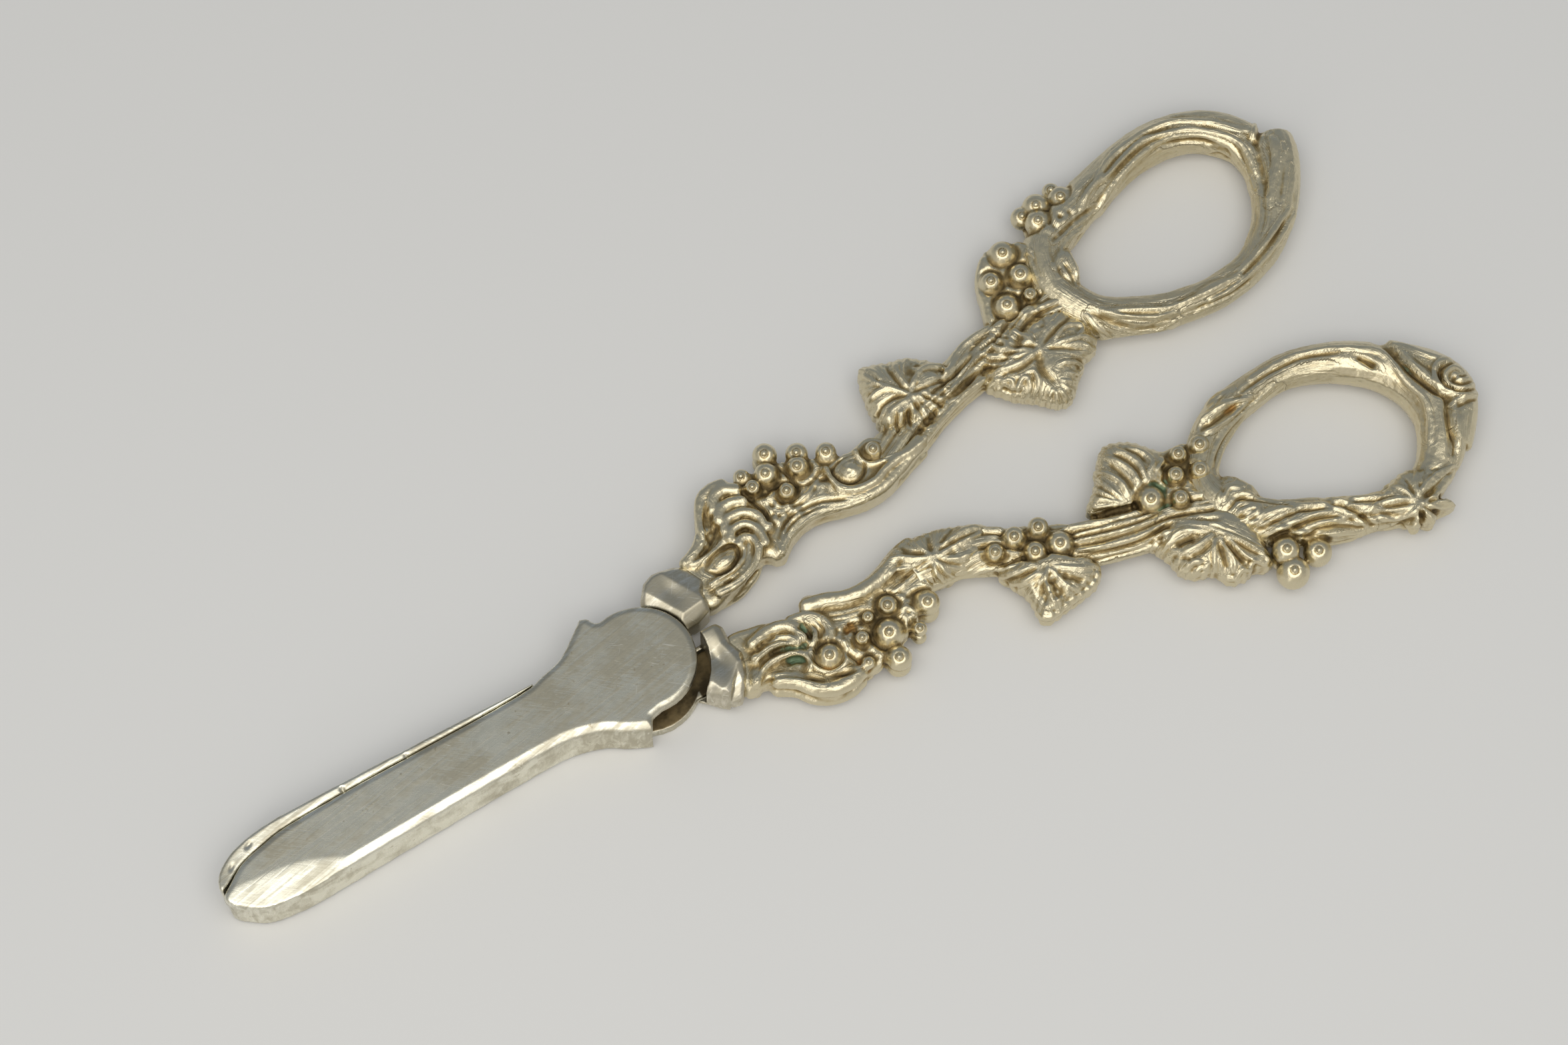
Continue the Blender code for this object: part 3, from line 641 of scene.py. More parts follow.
def castMaterial(name, look):
    material, shader = newMaterial(name)
    place = Shade(material.node_tree).node("TexCoord", output=3)
    hollow, crease = place.attribute("hollow"), place.attribute("crease")
    cloud = place.noise(look["cloudScale"], 4.0)
    grain = place.noise(look["grainScale"], 3.0)
    deep = hollow + crease.swing(look["creaseShare"]) + cloud.swing(look["cloudShare"])
    deep = deep + grain.swing(look["grainShare"])
    brown = deep.between(*look["brownRange"])
    colour = deep.between(*look["warmRange"]).blend(look["bright"], look["warm"])
    colour = brown.blend(colour, look["brown"])
    colour = deep.between(*look["darkRange"]).blend(colour, look["dark"])
    for tint, spots in look["patches"]:
        for along, across, reach in spots:
            centre = framePlace(along, across, look["patchLevel"])
            patch = 1 - place.gapTo(centre) * (1 / (reach * whole["millimetre"]))
            patch = patch + cloud.swing(look["patchCloud"]) + grain.swing(look["patchGrain"])
            patch = patch + (hollow - look["patchFloor"]) * look["patchHollow"]
            colour = (patch.between(*look["patchRange"]) * look["patchShare"]).blend(colour, tint)
    colour.plug(shader, "Base Color")
    rough = look["roughness"] + brown * look["brownRoughness"] + grain.swing(look["grainRoughness"])
    rough.clamped().plug(shader, "Roughness")
    flowAlong, flowAcross, flowShare = (place.attribute("flow" + end) for end in ("Along", "Across", "Share"))
    long, wide = look["fibreScale"]
    lane = place.node("CombineXYZ", None, {0: flowAlong * long, 1: flowAcross * wide})
    fibre = lane.noise(1.0, 3.0)
    height = grain * look["grainBump"] + cloud * look["cloudBump"]
    height = height + (fibre - 0.5) * flowShare * look["fibreBump"]
    bump = place.node("Bump", None, {"Strength": look["bumpStrength"], "Distance": look["bumpDepth"],
                                     "Height": height})
    bump.plug(shader, "Normal")
    return material


bladeLook = {
    "steel": (0.86, 0.84, 0.715),
    "cream": (0.88, 0.86, 0.76),
    "film": (0.46, 0.42, 0.31),
    "brown": (0.30, 0.23, 0.12),
    "dark": (0.08, 0.062, 0.035),
    "roughness": 0.25,
    # fine lines: angle, scales along, across and in height, detail, bend
    "brush": (11, 110.0, 1700.0, 400.0, 4.0, 0.8),
    "cross": (-38, 260.0, 3300.0, 400.0, 3.0, 1.4),
    "back": (52, 120.0, 4200.0, 400.0, 2.0, 1.2),
    "cloudScale": 130.0,
    "fleckScale": 900.0,
    "rootRange": (-0.052, -0.018),  # the film grows between these places in the frame
    "rootFilm": 0.45,
    "evenFilm": 0.3,
    "cloudFilm": 2.1,
    "crossFilm": 0.7,
    "brushFilm": 1.9,
    "filmShare": 0.8,
    "smudges": ((-25.7, 3.8, 3.6), (-26.9, -1.4, 2.8), (-13.3, 2.7, 4.2), (-52.1, 1.4, 3.0), (-3.7, -0.8, 3.2),
                (3.1, -1.0, 3.0)),
    "smudgeSquash": 0.5,
    "smudgeShare": 0.75,
    "smudgeCross": 3.0,
    "smudgeCloud": 2.0,
    "fleckRange": (0.70, 0.76),
    "fleckShare": 0.5,
    "crossRange": (0.665, 0.70),
    "backRange": (0.70, 0.73),
    "scratchShare": 0.6,
    # cloud levels that mottle the painted shade under the disc with brown tarnish
    "shadeAndGrimeRange": (0.42, 0.6),
    "hollowCloud": 0.4,
    "hollowRange": (0.62, 0.95),
    "hollowShare": 0.8,
    # reach of the painted shade and tarnish under the upper disc, and where it starts behind the shank
    "discReach": 7.4,
    "shankPlace": 5.2,
    "underRange": (0.8, 1.4),  # heights over which the painted shade and tarnish under the disc starts, and ends
    "roofRange": (5.05, 5.35),
    "discEdge": 0.25,
    "shankEdge": 0.3,
    "brushRoughness": 0.15,
    "filmRoughness": 0.14,
    "insideRoughness": 0.25,
    "fleckRoughness": 0.1,
    "brushBump": 0.7,
    "crossBump": 0.25,
    "backBump": 0.2,
    "cloudBump": 2.2,
    "bumpStrength": 0.5,
    "bumpDepth": 0.00004,
}


def bladeLines(place, angle, along, across, height, detail, bend):
    settings = {"rotation_type": "Z_AXIS"}
    turned = place.node("VectorRotate", settings, {"Vector": place, "Angle": math.radians(-angle)})
    drawn = turned.node("Mapping", None, {"Vector": turned, "Scale": (along, across, height)})
    return drawn.noise(1.0, detail, Distortion=bend)


def bladeMaterial(name, look):
    material, shader = newMaterial(name)
    size = whole["millimetre"]
    place = Shade(material.node_tree).node("TexCoord", output=3)
    brush, cross, back = (bladeLines(place, *look[key]) for key in ("brush", "cross", "back"))
    cloud = place.noise(look["cloudScale"], 5.0, Roughness=0.62)
    fleck = place.noise(look["fleckScale"], 2.0)
    hollow = place.attribute("hollow")
    along = place.node("SeparateXYZ", None, {0: place})
    height = place.node("SeparateXYZ", None, {0: place}, output=2)
    film = along.between(*look["rootRange"]) * look["rootFilm"] + cloud.swing(look["cloudFilm"])
    film = film + cross.swing(look["crossFilm"]) + brush.swing(look["brushFilm"]) + look["evenFilm"]
    film = film.between(0.0, 1.0)
    uneven = cross.swing(look["smudgeCross"]) + cloud.swing(look["smudgeCloud"]) + look["smudgeShare"]
    squashed = place.scaled(look["smudgeSquash"], 1, 0)
    for smudgeAlong, smudgeAcross, reach in look["smudges"]:
        x, y, _ = framePlace(smudgeAlong, smudgeAcross)
        near = 1 - squashed.gapTo((x * look["smudgeSquash"], y, 0)) * (1 / (reach * size))
        film = film + near.clamped() * uneven
    film = film.clamped()
    colour = (film * look["filmShare"]).blend(look["steel"], look["film"])
    colour = (fleck.between(*look["fleckRange"]) * look["fleckShare"]).blend(colour, look["brown"])
    scratch = (cross.between(*look["crossRange"]) + back.between(*look["backRange"])).clamped()
    colour = (scratch * look["scratchShare"]).blend(colour, look["cream"])
    # the room under the upper disc and the foot of each wall get painted shade, where the parts hide each
    # other, mottled with brown tarnish
    gap = place.scaled(1, 1, 0).gapTo(framePlace(0, -whole["discCentre"]))
    shadeAndTarnish = 1 - gap.between((look["discReach"] - look["discEdge"]) * size, look["discReach"] * size)
    behind = framePlace(look["shankPlace"], 0)[0]
    shadeAndTarnish = (shadeAndTarnish + along.between(behind, behind + look["shankEdge"] * size)).clamped()
    shadeAndTarnish = shadeAndTarnish * (1 - height.between(*(level * size for level in look["roofRange"])))
    shadeAndTarnish = shadeAndTarnish * height.between(*(level * size for level in look["underRange"]))
    # the masked room is painted dark, as shade, and brown, as tarnish, mottled by the cloud
    colour = shadeAndTarnish.blend(colour, cloud.between(*look["shadeAndGrimeRange"]).blend(look["dark"], look["brown"]))
    deep = (hollow + cloud.swing(look["hollowCloud"])).between(*look["hollowRange"])
    colour = (deep * look["hollowShare"]).blend(colour, look["brown"])
    colour.plug(shader, "Base Color")
    rough = look["roughness"] + brush.swing(look["brushRoughness"]) + film * look["filmRoughness"]
    rough = rough + shadeAndTarnish * look["insideRoughness"] + fleck.swing(look["fleckRoughness"])
    rough.clamped().plug(shader, "Roughness")
    relief = brush * look["brushBump"] + cross * look["crossBump"] + cloud * look["cloudBump"]
    bump = place.node("Bump", None, {"Strength": look["bumpStrength"], "Distance": look["bumpDepth"],
                                     "Height": relief + back * look["backBump"]})
    bump.plug(shader, "Normal")
    return material


# the bolsters get almost none of the painted shade and tarnish under the disc
bolsterLook = {**bladeLook, "smudges": (), "steel": (0.76, 0.72, 0.60), "discReach": 0.5, "shankPlace": 200.0}
screwLook = {**castLook, "patches": (), "bright": (0.56, 0.54, 0.49), "warm": (0.40, 0.36, 0.28),
             "roughness": 0.32}
castSilver = castMaterial("castSilver", castLook)
bladeSilver = bladeMaterial("bladeSilver", bladeLook)
bolsterSilver = bladeMaterial("bolsterSilver", bolsterLook)
screwSteel = castMaterial("screwSteel", screwLook)
print("materials made")

# Stage: a pale table, two soft lamps and the camera
stage = {
    "tableColour": (0.80, 0.80, 0.79),
    "tableRoughness": 0.7,
    "tableShine": 0.2,
    "tableSize": 3.0,
    "lamps": (  # name, place, size, power, colour
        ("keyLamp", (-0.12, -0.20, 0.62), (0.80, 0.55), 2.2, (1, 0.975, 0.93)),
        ("sideLamp", (-0.5, -0.35, 0.25), (0.12, 0.5), 0.25, (1, 0.98, 0.95)),
    ),
    "farSide": (0.513, 0.859, 0.0),
    "roomTones": [  # from the near side of the room to the far side
        (0.0, (0.58, 0.56, 0.52)), (0.35, (0.46, 0.45, 0.43)), (0.62, (0.36, 0.37, 0.37)),
        (0.8, (0.235, 0.255, 0.285)), (1.0, (0.26, 0.30, 0.36))],
    "cameraPlace": (-0.104788, -0.164347, 0.449065),
    "cameraTurn": (24.3213, -0.2149, -30.3659),
    "lens": 84.148,
}

bm = bmesh.new()
bmesh.ops.create_grid(bm, x_segments=1, y_segments=1, size=stage["tableSize"])
table = newObject("table", meshFrom(bm, "table"))
tableMaterial, tableShader = newMaterial("tableTop", 0.0)
tableShader.inputs["Base Color"].default_value = (*stage["tableColour"], 1)
tableShader.inputs["Roughness"].default_value = stage["tableRoughness"]
tableShader.inputs["Specular IOR Level"].default_value = stage["tableShine"]
table.data.materials.append(tableMaterial)

for name, place, size, power, colour in stage["lamps"]:
    lamp = bpy.data.lights.new(name, "AREA")
    lamp.shape = "RECTANGLE"
    lamp.size, lamp.size_y = size
    lamp.energy = power
    lamp.color = colour
    item = newObject(name, lamp)
    item.location = place
    item.rotation_euler = (-Vector(place)).to_track_quat("-Z", "Y").to_euler()

world = bpy.data.worlds.new("softRoom")
bpy.context.scene.world = world
world.use_nodes = True
facing = Shade(world.node_tree).node("TexCoord", output=0)
side = facing.node("VectorMath", {"operation": "DOT_PRODUCT"}, {0: facing, 1: stage["farSide"]}, output=1)
background = world.node_tree.nodes["Background"]
background.inputs["Strength"].default_value = 1.0
side.node("ValToRGB", {"stops": stage["roomTones"]}, {0: side * 0.5 + 0.5}).plug(background, "Color")

cameraData = bpy.data.cameras.new("camera")
cameraData.lens = stage["lens"]
cameraData.sensor_width = 36
cameraData.clip_start = 0.01
camera = newObject("camera", cameraData)
camera.location = stage["cameraPlace"]
camera.rotation_euler = [math.radians(turn) for turn in stage["cameraTurn"]]
bpy.context.scene.camera = camera
bpy.context.scene.view_settings.view_transform = "Standard"
print("stage set")

# Necks, stems and rings. Each dictionary holds a casting's parts in the order in which they are joined:
# vines (path of along, across and radius; depth share; closed), plates (outline; bottom; top; rounding),
# leaves (crown; outline), grapes (along; across; radius; lift), cords (height; radius; path) and ovals
# (along; across; height; radius; stretches). Then the relief: marks (height; width; roundness; path),
# pits (along; across; reach; depth; size) and barks (path; reach; depth; count; seed).
stemDepth = 0.67
ringDepth = 0.95
neckLevels = (1.6, 5.4, 1.1)
forkLevels = (1.7, 5.2, 1.1)

upperNeck = {
    "plates": [([
        (11.5, 10.2), (14, 11.6), (16, 13.4), (17.6, 16.4), (19, 18), (21.4, 18.3), (23.6, 17.3), (27, 17.3),
        (30, 17), (33, 15.9), (36, 14.5), (38, 13.7), (39.5, 13.3), (42.5, 13.9), (44.6, 12), (44.6, 9),
        (43, 6.4), (39.5, 5.5), (36, 5.9), (31.5, 7), (27.5, 6.4), (23.5, 4.2), (22, 5.4), (19.5, 5), (16, 3.5),
        (11.5, 3)], *neckLevels)],
    "grapes": [(29.3, 18.5, 1.75, 0.7), (27.9, 15.8, 1.65, 1), (32.1, 14.6, 1.45, 1),
               (25.3, 14.8, 1.1, 1), (29, 12.1, 1.2, 1), (33.1, 16.5, 1.6, 0.7),
               (36.6, 14.7, 1.5, 0.65), (25, 17.3, 1.2, 0.5), (42.1, 11.6, 1.2, 0.95)],
    "cords": [
        (5.2, 0.9, [(12.2, 9.9), (14.5, 10.9), (16.3, 12.8), (17.6, 15.4), (18.8, 17), (20.5, 17.6),
                    (22, 17.4)]),
        (5.3, 1, [(19, 14.9), (20.2, 16.3), (21.8, 16.6), (23.4, 15.7)]),
        (5.6, 0.85, [(19, 13), (20, 14.2), (21.6, 14.4), (23.2, 13.8)]),
        (5.6, 0.75, [(18.9, 11.2), (19.8, 12.4), (21.6, 12.6), (23, 12), (23.9, 10.6), (24.2, 8.9)]),
        (5.8, 0.65, [(18.9, 9.8), (20, 10.8), (21.6, 10.8), (22.5, 10), (22.9, 8.6), (22.8, 7)]),
        (5.6, 0.75, [(19.6, 8.6), (20.6, 9.1), (21.4, 8.5), (21.6, 7.3), (21, 6.2), (19.6, 5.1), (16.8, 4),
                     (14, 3.9)]),
        (5.5, 0.55, [(13.6, 5.4), (17, 5.6), (19.3, 6.4), (20.5, 7.8)]),
        (5.3, 0.6, [(13, 9.2), (15.5, 9.2), (17.6, 9.8), (19, 10.8)]),
        (5.5, 0.6, [(35.2, 12.2), (35, 10.2), (35.9, 8.5), (37.8, 7.6), (40.2, 7.6), (42, 8.3), (44.2, 8.8),
                    (46.8, 9), (49, 9.6)]),
        (5, 0.6, [(34.4, 11), (34.8, 8.6), (36.8, 6.8), (39.4, 6.4), (41.5, 7), (43.2, 8.1), (46, 8.2),
                    (48.6, 9)]),
        (4.7, 0.9, [(24, 5.2), (26, 6.6), (28.5, 7.6), (31.5, 7.7), (35, 6.9), (38, 6.4), (41, 6.6), (44, 7.6),
                    (47, 8.9)]),
        (5.3, 0.5, [(40, 12.6), (40.1, 11.2), (40.9, 10.2), (43, 9.7), (45.5, 9.5), (48.3, 10.2)]),
    ],
    "ovals": [(38.1, 10.5, 4.85, 1.2, 1.4, 1.15), (16.9, 7.6, 4.75, 1.1, 1.8, 0.9)],
    "marks": [
        (-0.55, 0.4, 1, [(14.3, 8.2), (15.8, 9.3), (18, 9.7), (19.2, 9.2), (19, 7.9), (17.3, 6.9), (15.3, 7),
                         (14.3, 8.2)]),
        (-0.4, 0.28, 1, [(14.2, 5.9), (17.1, 6), (19.3, 6.8), (20.6, 8.4), (20.8, 9.3)]),
        (-0.4, 0.28, 1, [(14.2, 5.2), (17.3, 5.3), (19.9, 6.2), (21.3, 7.9), (21.5, 9.2)]),
        (-0.35, 0.25, 1, [(14.2, 4.6), (17.6, 4.7), (20.5, 5.7), (21.9, 7.4)]),
        (-0.5, 0.35, 1, [(25, 7.3), (26.8, 8.9), (29, 9.4), (32, 9.2), (34, 8.5), (36, 7.3)]),
        (-0.4, 0.3, 1, [(24.8, 6.4), (27, 8.1), (29.5, 8.7), (32.3, 8.4), (35, 7.2), (37.5, 6.7)]),
        (-0.35, 0.25, 1, [(24.6, 5.7), (27.2, 7.3), (30, 8), (33, 7.6), (35.5, 6.7)]),
        (-0.3, 0.25, 1, [(25.2, 5.5), (28, 7), (31, 7.3), (34, 6.9)]),
        (-0.5, 0.3, 1, [(40.3, 12.3), (40.3, 10.8), (39.5, 9.7), (38, 9.3), (36.7, 9.9), (36.1, 11.2),
                        (36.3, 12.4), (38, 13.1), (39.7, 12.9)]),
        (-0.5, 0.5, 1, [(43.6, 11), (45.5, 10.8), (47.4, 11.2)]),
        (-0.6, 0.5, 1, [(24.9, 16.2), (24.6, 14), (25.3, 12), (25.2, 10.2)]),
        (-0.5, 0.4, 1, [(26, 13.4), (27.6, 14), (29.5, 13.9), (31, 13)]),
        (-0.5, 0.4, 1, [(30.2, 16.4), (30.6, 14.8), (31, 13), (32.6, 12.2), (34.4, 13)]),
        (-0.3, 0.3, 1, [(33.8, 12.3), (34.8, 11.2), (35, 9.6)]),
        (0.35, 0.35, 1, [(26.4, 12.6), (27.6, 11.2), (29.8, 10.7), (32, 11.2), (33.4, 12.4)]),
        (-0.5, 0.4, 1, [(17.2, 13.2), (18.2, 15.2), (19.2, 16.4)]),
        (-0.35, 0.3, 1, [(13.4, 10.2), (15.6, 10.6), (17.5, 11.8), (18.5, 13)]),
    ],
    "pits": [(29, 12, 5.5, 0.35, 0.9), (27, 10.8, 3, 0.3, 0.6), (34, 13, 3, 0.35, 0.7),
             (38.2, 11.2, 1.6, 0.12, 0.45), (16.5, 12.5, 2.5, 0.2, 0.5)],
}
castPiece("upperNeckCasting", "upper_half",
          ["upper_neck", "upper_neck_scroll", "upper_seed_scroll", "upper_neck_grapes"], castSilver, upperNeck)

upperStemPath = [
    (41.5, 10, 3.1), (46.5, 11.4, 3.1), (51, 13.4, 3), (56, 15, 3.1), (61, 16.3, 3.2), (66, 17.3, 3.3),
    (71, 18.4, 3.3), (77, 20.6, 3.2)]
upperStem = {
    "vines": [(upperStemPath, stemDepth)],
    "grapes": [(69.2, 21.2, 1.75, 0.85), (72.6, 20.8, 1, 1), (69.2, 25.4, 1.5, 0.8), (73.2, 24.3, 1.65, 0.95),
               (73, 28.5, 2, 0.65)],
    "cords": [
        (4.9, 0.8, [(56, 15.8), (58.5, 17.3), (61.5, 18.6), (65, 19.2), (68, 19)]),
        (5.2, 0.7, [(55.5, 14.2), (58.5, 15.2), (61, 16.4), (64, 17)]),
        (4.9, 0.8, [(48, 9.3), (52, 11.3), (56, 12.7), (60.4, 13.6)]),
        (5.2, 0.9, [(70, 19), (73, 18.2), (76.4, 17.6)]),
        (4.2, 0.8, [(68.2, 22.8), (69.6, 27), (71.4, 29.6)]),
        (5.3, 0.8, [(76.4, 26.5), (76.6, 22.5), (76.8, 19.4)]),
    ],
    "plates": [([
        (66.2, 19), (66.6, 24), (68, 27.5), (71, 30), (75.5, 29.5), (78, 26), (77.5, 21),
        (77, 17)], *forkLevels)],
    "leaves": [
        ((50.5, 16.2), [  # on the stem
            (46.9, 23.5), (45.8, 21.5), (45.1, 18.5), (44.8, 15.8), (45, 13.6), (47.2, 12.6), (49.2, 11.7),
            (50.4, 10.9), (51.7, 11.7), (53.5, 12.4), (55.4, 13.6), (56.6, 15.8), (57.1, 17.6), (56.2, 19.4),
            (54, 21.5), (51.6, 22.2), (49.6, 22.9)]),
        ((69.3, 12.9), [  # at the fork
            (60.4, 12.3), (61.6, 14.6), (61.8, 16.9), (63.4, 18.3), (66.6, 19.2), (69.6, 17.8), (73, 17.6),
            (76, 17), (77.3, 14.6), (77.2, 11.5), (76.2, 9.5), (74, 8.9), (72.2, 7.2), (70.5, 5.4), (69, 4.6),
            (67.3, 5.2), (65.3, 7.2), (63.2, 8.7), (61.8, 10.3)]),
    ],
    "marks": [
        # leaf on the stem
        (0.35, 0.35, 1, [(50.7, 17), (49.2, 18.8), (47.8, 20.6), (46.9, 22.6)]),
        (0.25, 0.3, 1, [(48.3, 20.2), (46.9, 20.8), (45.6, 20.9)]),
        (0.25, 0.3, 1, [(48.6, 20.4), (48.6, 21.8), (48, 23)]),
        (-0.5, 0.45, 1, [(50.9, 17.4), (50.5, 19.4), (50.3, 21.4), (50.7, 22.6)]),
        (0.5, 0.55, 1, [(51, 17.6), (51, 19.6), (51.4, 21.2), (52.2, 21.9)]),
        (-0.7, 0.9, 1, [(52.2, 19), (53.2, 20.4), (54.8, 20.6)]),
        (0.5, 0.4, 0.8, [(51.4, 17.2), (52.8, 18.6), (54.6, 19.2), (56.2, 18.6), (57, 17.4), (56.2, 16.7)]),
        (0.35, 0.8, 1, [(52.4, 17.6), (54.2, 17.9), (55.6, 17.4)]),
        (-0.55, 0.4, 1, [(51.2, 16.7), (53.6, 16.6), (56.6, 16.2)]),
        (0.4, 0.4, 1, [(50.4, 17.2), (48.8, 19), (46.8, 19.2), (45.3, 18.4)]),
        (-0.5, 0.4, 1, [(50.4, 16.9), (48.6, 17.4), (46.4, 17), (44.9, 15.6)]),
        (0.4, 0.4, 1, [(50.4, 16.4), (49, 16.2), (47.3, 15.8), (45.9, 14.8)]),
        (0.5, 0.5, 1, [(45.6, 13.7), (46.4, 14.6), (46.9, 15.4)]),
        (0.5, 0.5, 1, [(47.4, 13.2), (48.1, 14.2), (48.6, 15.4)]),
        (0.5, 0.45, 1, [(49.3, 13.2), (50, 14.2), (50.5, 15.4)]),
        (-0.6, 0.35, 1, [(46.7, 13), (47.3, 14.2), (47.9, 15.2)]),
        (-0.6, 0.35, 1, [(48.6, 12.6), (49, 13.8), (49.6, 15)]),
        (-0.6, 0.4, 1, [(50.9, 16), (50.8, 14), (50.6, 12)]),
        (0.4, 0.35, 1, [(50, 12.2), (50.4, 11.2), (51.2, 11.6)]),
        (0.5, 0.45, 1, [(51.7, 16), (52.5, 14.4), (53, 12.8)]),
        (0.4, 0.4, 1, [(52.6, 16.2), (53.6, 14.8), (54.7, 13.6)]),
        (-0.5, 0.3, 1, [(52.2, 15.9), (53.1, 14.4), (53.8, 13)]),
        # leaf at the fork
        (0.3, 0.4, 1, [(69.6, 13.9), (66.4, 13.4), (64, 13.7), (62.4, 14.1)]),
        (-0.4, 0.4, 1, [(69.2, 13.1), (66.3, 12.6), (64, 12.9), (62.4, 13.2)]),
        (-0.6, 0.8, 1, [(69.3, 13.3), (68.3, 11.2), (68.5, 9.2), (68.8, 7.8)]),
        (-0.45, 0.45, 1, [(70.4, 13.4), (72.3, 12.4), (74.2, 11), (75.4, 10.2)]),
        (-0.5, 0.45, 1, [(70.3, 14), (72.2, 14.9), (74.7, 15.6), (76.8, 16.3)]),
        (-0.5, 0.45, 1, [(69.4, 14.2), (67.6, 15.9), (66.4, 17.6), (65.6, 18.9)]),
        (0.35, 0.35, 1, [(62.4, 17.6), (63.6, 15.9), (66.2, 14.5), (68.4, 14.2)]),
        (0.35, 0.35, 1, [(61.6, 16.2), (63.2, 14.8), (65.4, 14.2)]),
        (0.4, 0.4, 1, [(63.8, 18), (65, 16.5), (66.8, 15.3), (68.6, 14.5)]),
        (0.45, 0.35, 0.8, [(64.6, 18.2), (64.5, 16.9), (65.6, 16), (66.2, 17), (65.2, 18.2)]),
        (0.45, 0.4, 0.8, [(66.2, 18.6), (66.6, 17), (67.8, 15.8), (69.2, 15.2), (69, 16.6), (68, 18)]),
        (0.3, 0.35, 1, [(62.4, 12.4), (63.9, 11.6), (63.2, 10.2)]),
        (0.45, 0.35, 0.8, [(63.6, 9.4), (64.6, 10.8), (65.9, 11), (65.6, 9.6), (64.6, 8.6)]),
        (0.45, 0.35, 0.8, [(65.6, 11.6), (67.2, 11.4), (67, 9.6), (65.8, 8.2)]),
        (-0.4, 0.4, 1, [(62.2, 11.4), (63, 10.2), (64.2, 9.6)]),
        (0.3, 0.3, 1, [(68, 7.8), (66.8, 6.8)]), (0.3, 0.3, 1, [(68.2, 7.4), (67.7, 5.8)]),
        (0.3, 0.3, 1, [(68.8, 7.2), (69, 5.2)]), (0.3, 0.3, 1, [(69.4, 7.6), (70.4, 5.9)]),
        (0.3, 0.3, 1, [(69.8, 8.2), (71.6, 7)]),
        (0.5, 0.35, 0.8, [(70.6, 10.4), (71.6, 10.3), (73, 9.4), (73.3, 8.5), (72.2, 8.1), (71, 8.8)]),
        (0.5, 0.35, 0.8, [(72.2, 14), (74.2, 15), (76.1, 14.4), (76.5, 13.4), (75.4, 12.9)]),
        (0.5, 0.35, 0.8, [(72, 13.4), (74.4, 12.9), (76.2, 12.2), (77, 10.9), (76.4, 9.9)]),
        (0.3, 0.25, 0.8, [(73, 12.4), (74.6, 12), (75.6, 11.2), (75.8, 10.2)]),
        # stem's own ridges
        (0.3, 0.4, 1, [(56, 16.4), (58.6, 18.4), (61.4, 19.6), (65.4, 20.2)]),
        (-0.4, 0.35, 1, [(56.4, 15.4), (59.2, 16.8), (62, 18.2)]),
        (-0.35, 0.3, 1, [(55.6, 13.6), (58.2, 14.2), (60.6, 15.2)]),
        (0.3, 0.3, 1, [(76.3, 26.6), (76.5, 22.8), (77, 19.4), (78.4, 16.4)]),
        (-0.4, 0.3, 1, [(77.1, 26.6), (77.3, 22.8), (77.8, 19.6), (79.2, 16.8)]),
    ],
    "pits": [(71, 22.5, 4.5, 0.3, 0.8), (71.5, 27, 3, 0.3, 0.8), (71.5, 18.2, 3, 0.25, 0.6),
             (64.5, 11, 3, 0.2, 0.6), (63.5, 16, 3, 0.15, 0.6), (53.6, 20.3, 2, 0.15, 0.5)],
    "barks": [(upperStemPath, 3.4, 0.26, 7, 11)],
}
castPiece("upperStemCasting", "upper_half",
          ["upper_vine_stem", "upper_stem_leaf", "upper_fork_leaf", "upper_fork_grapes"], castSilver, upperStem)

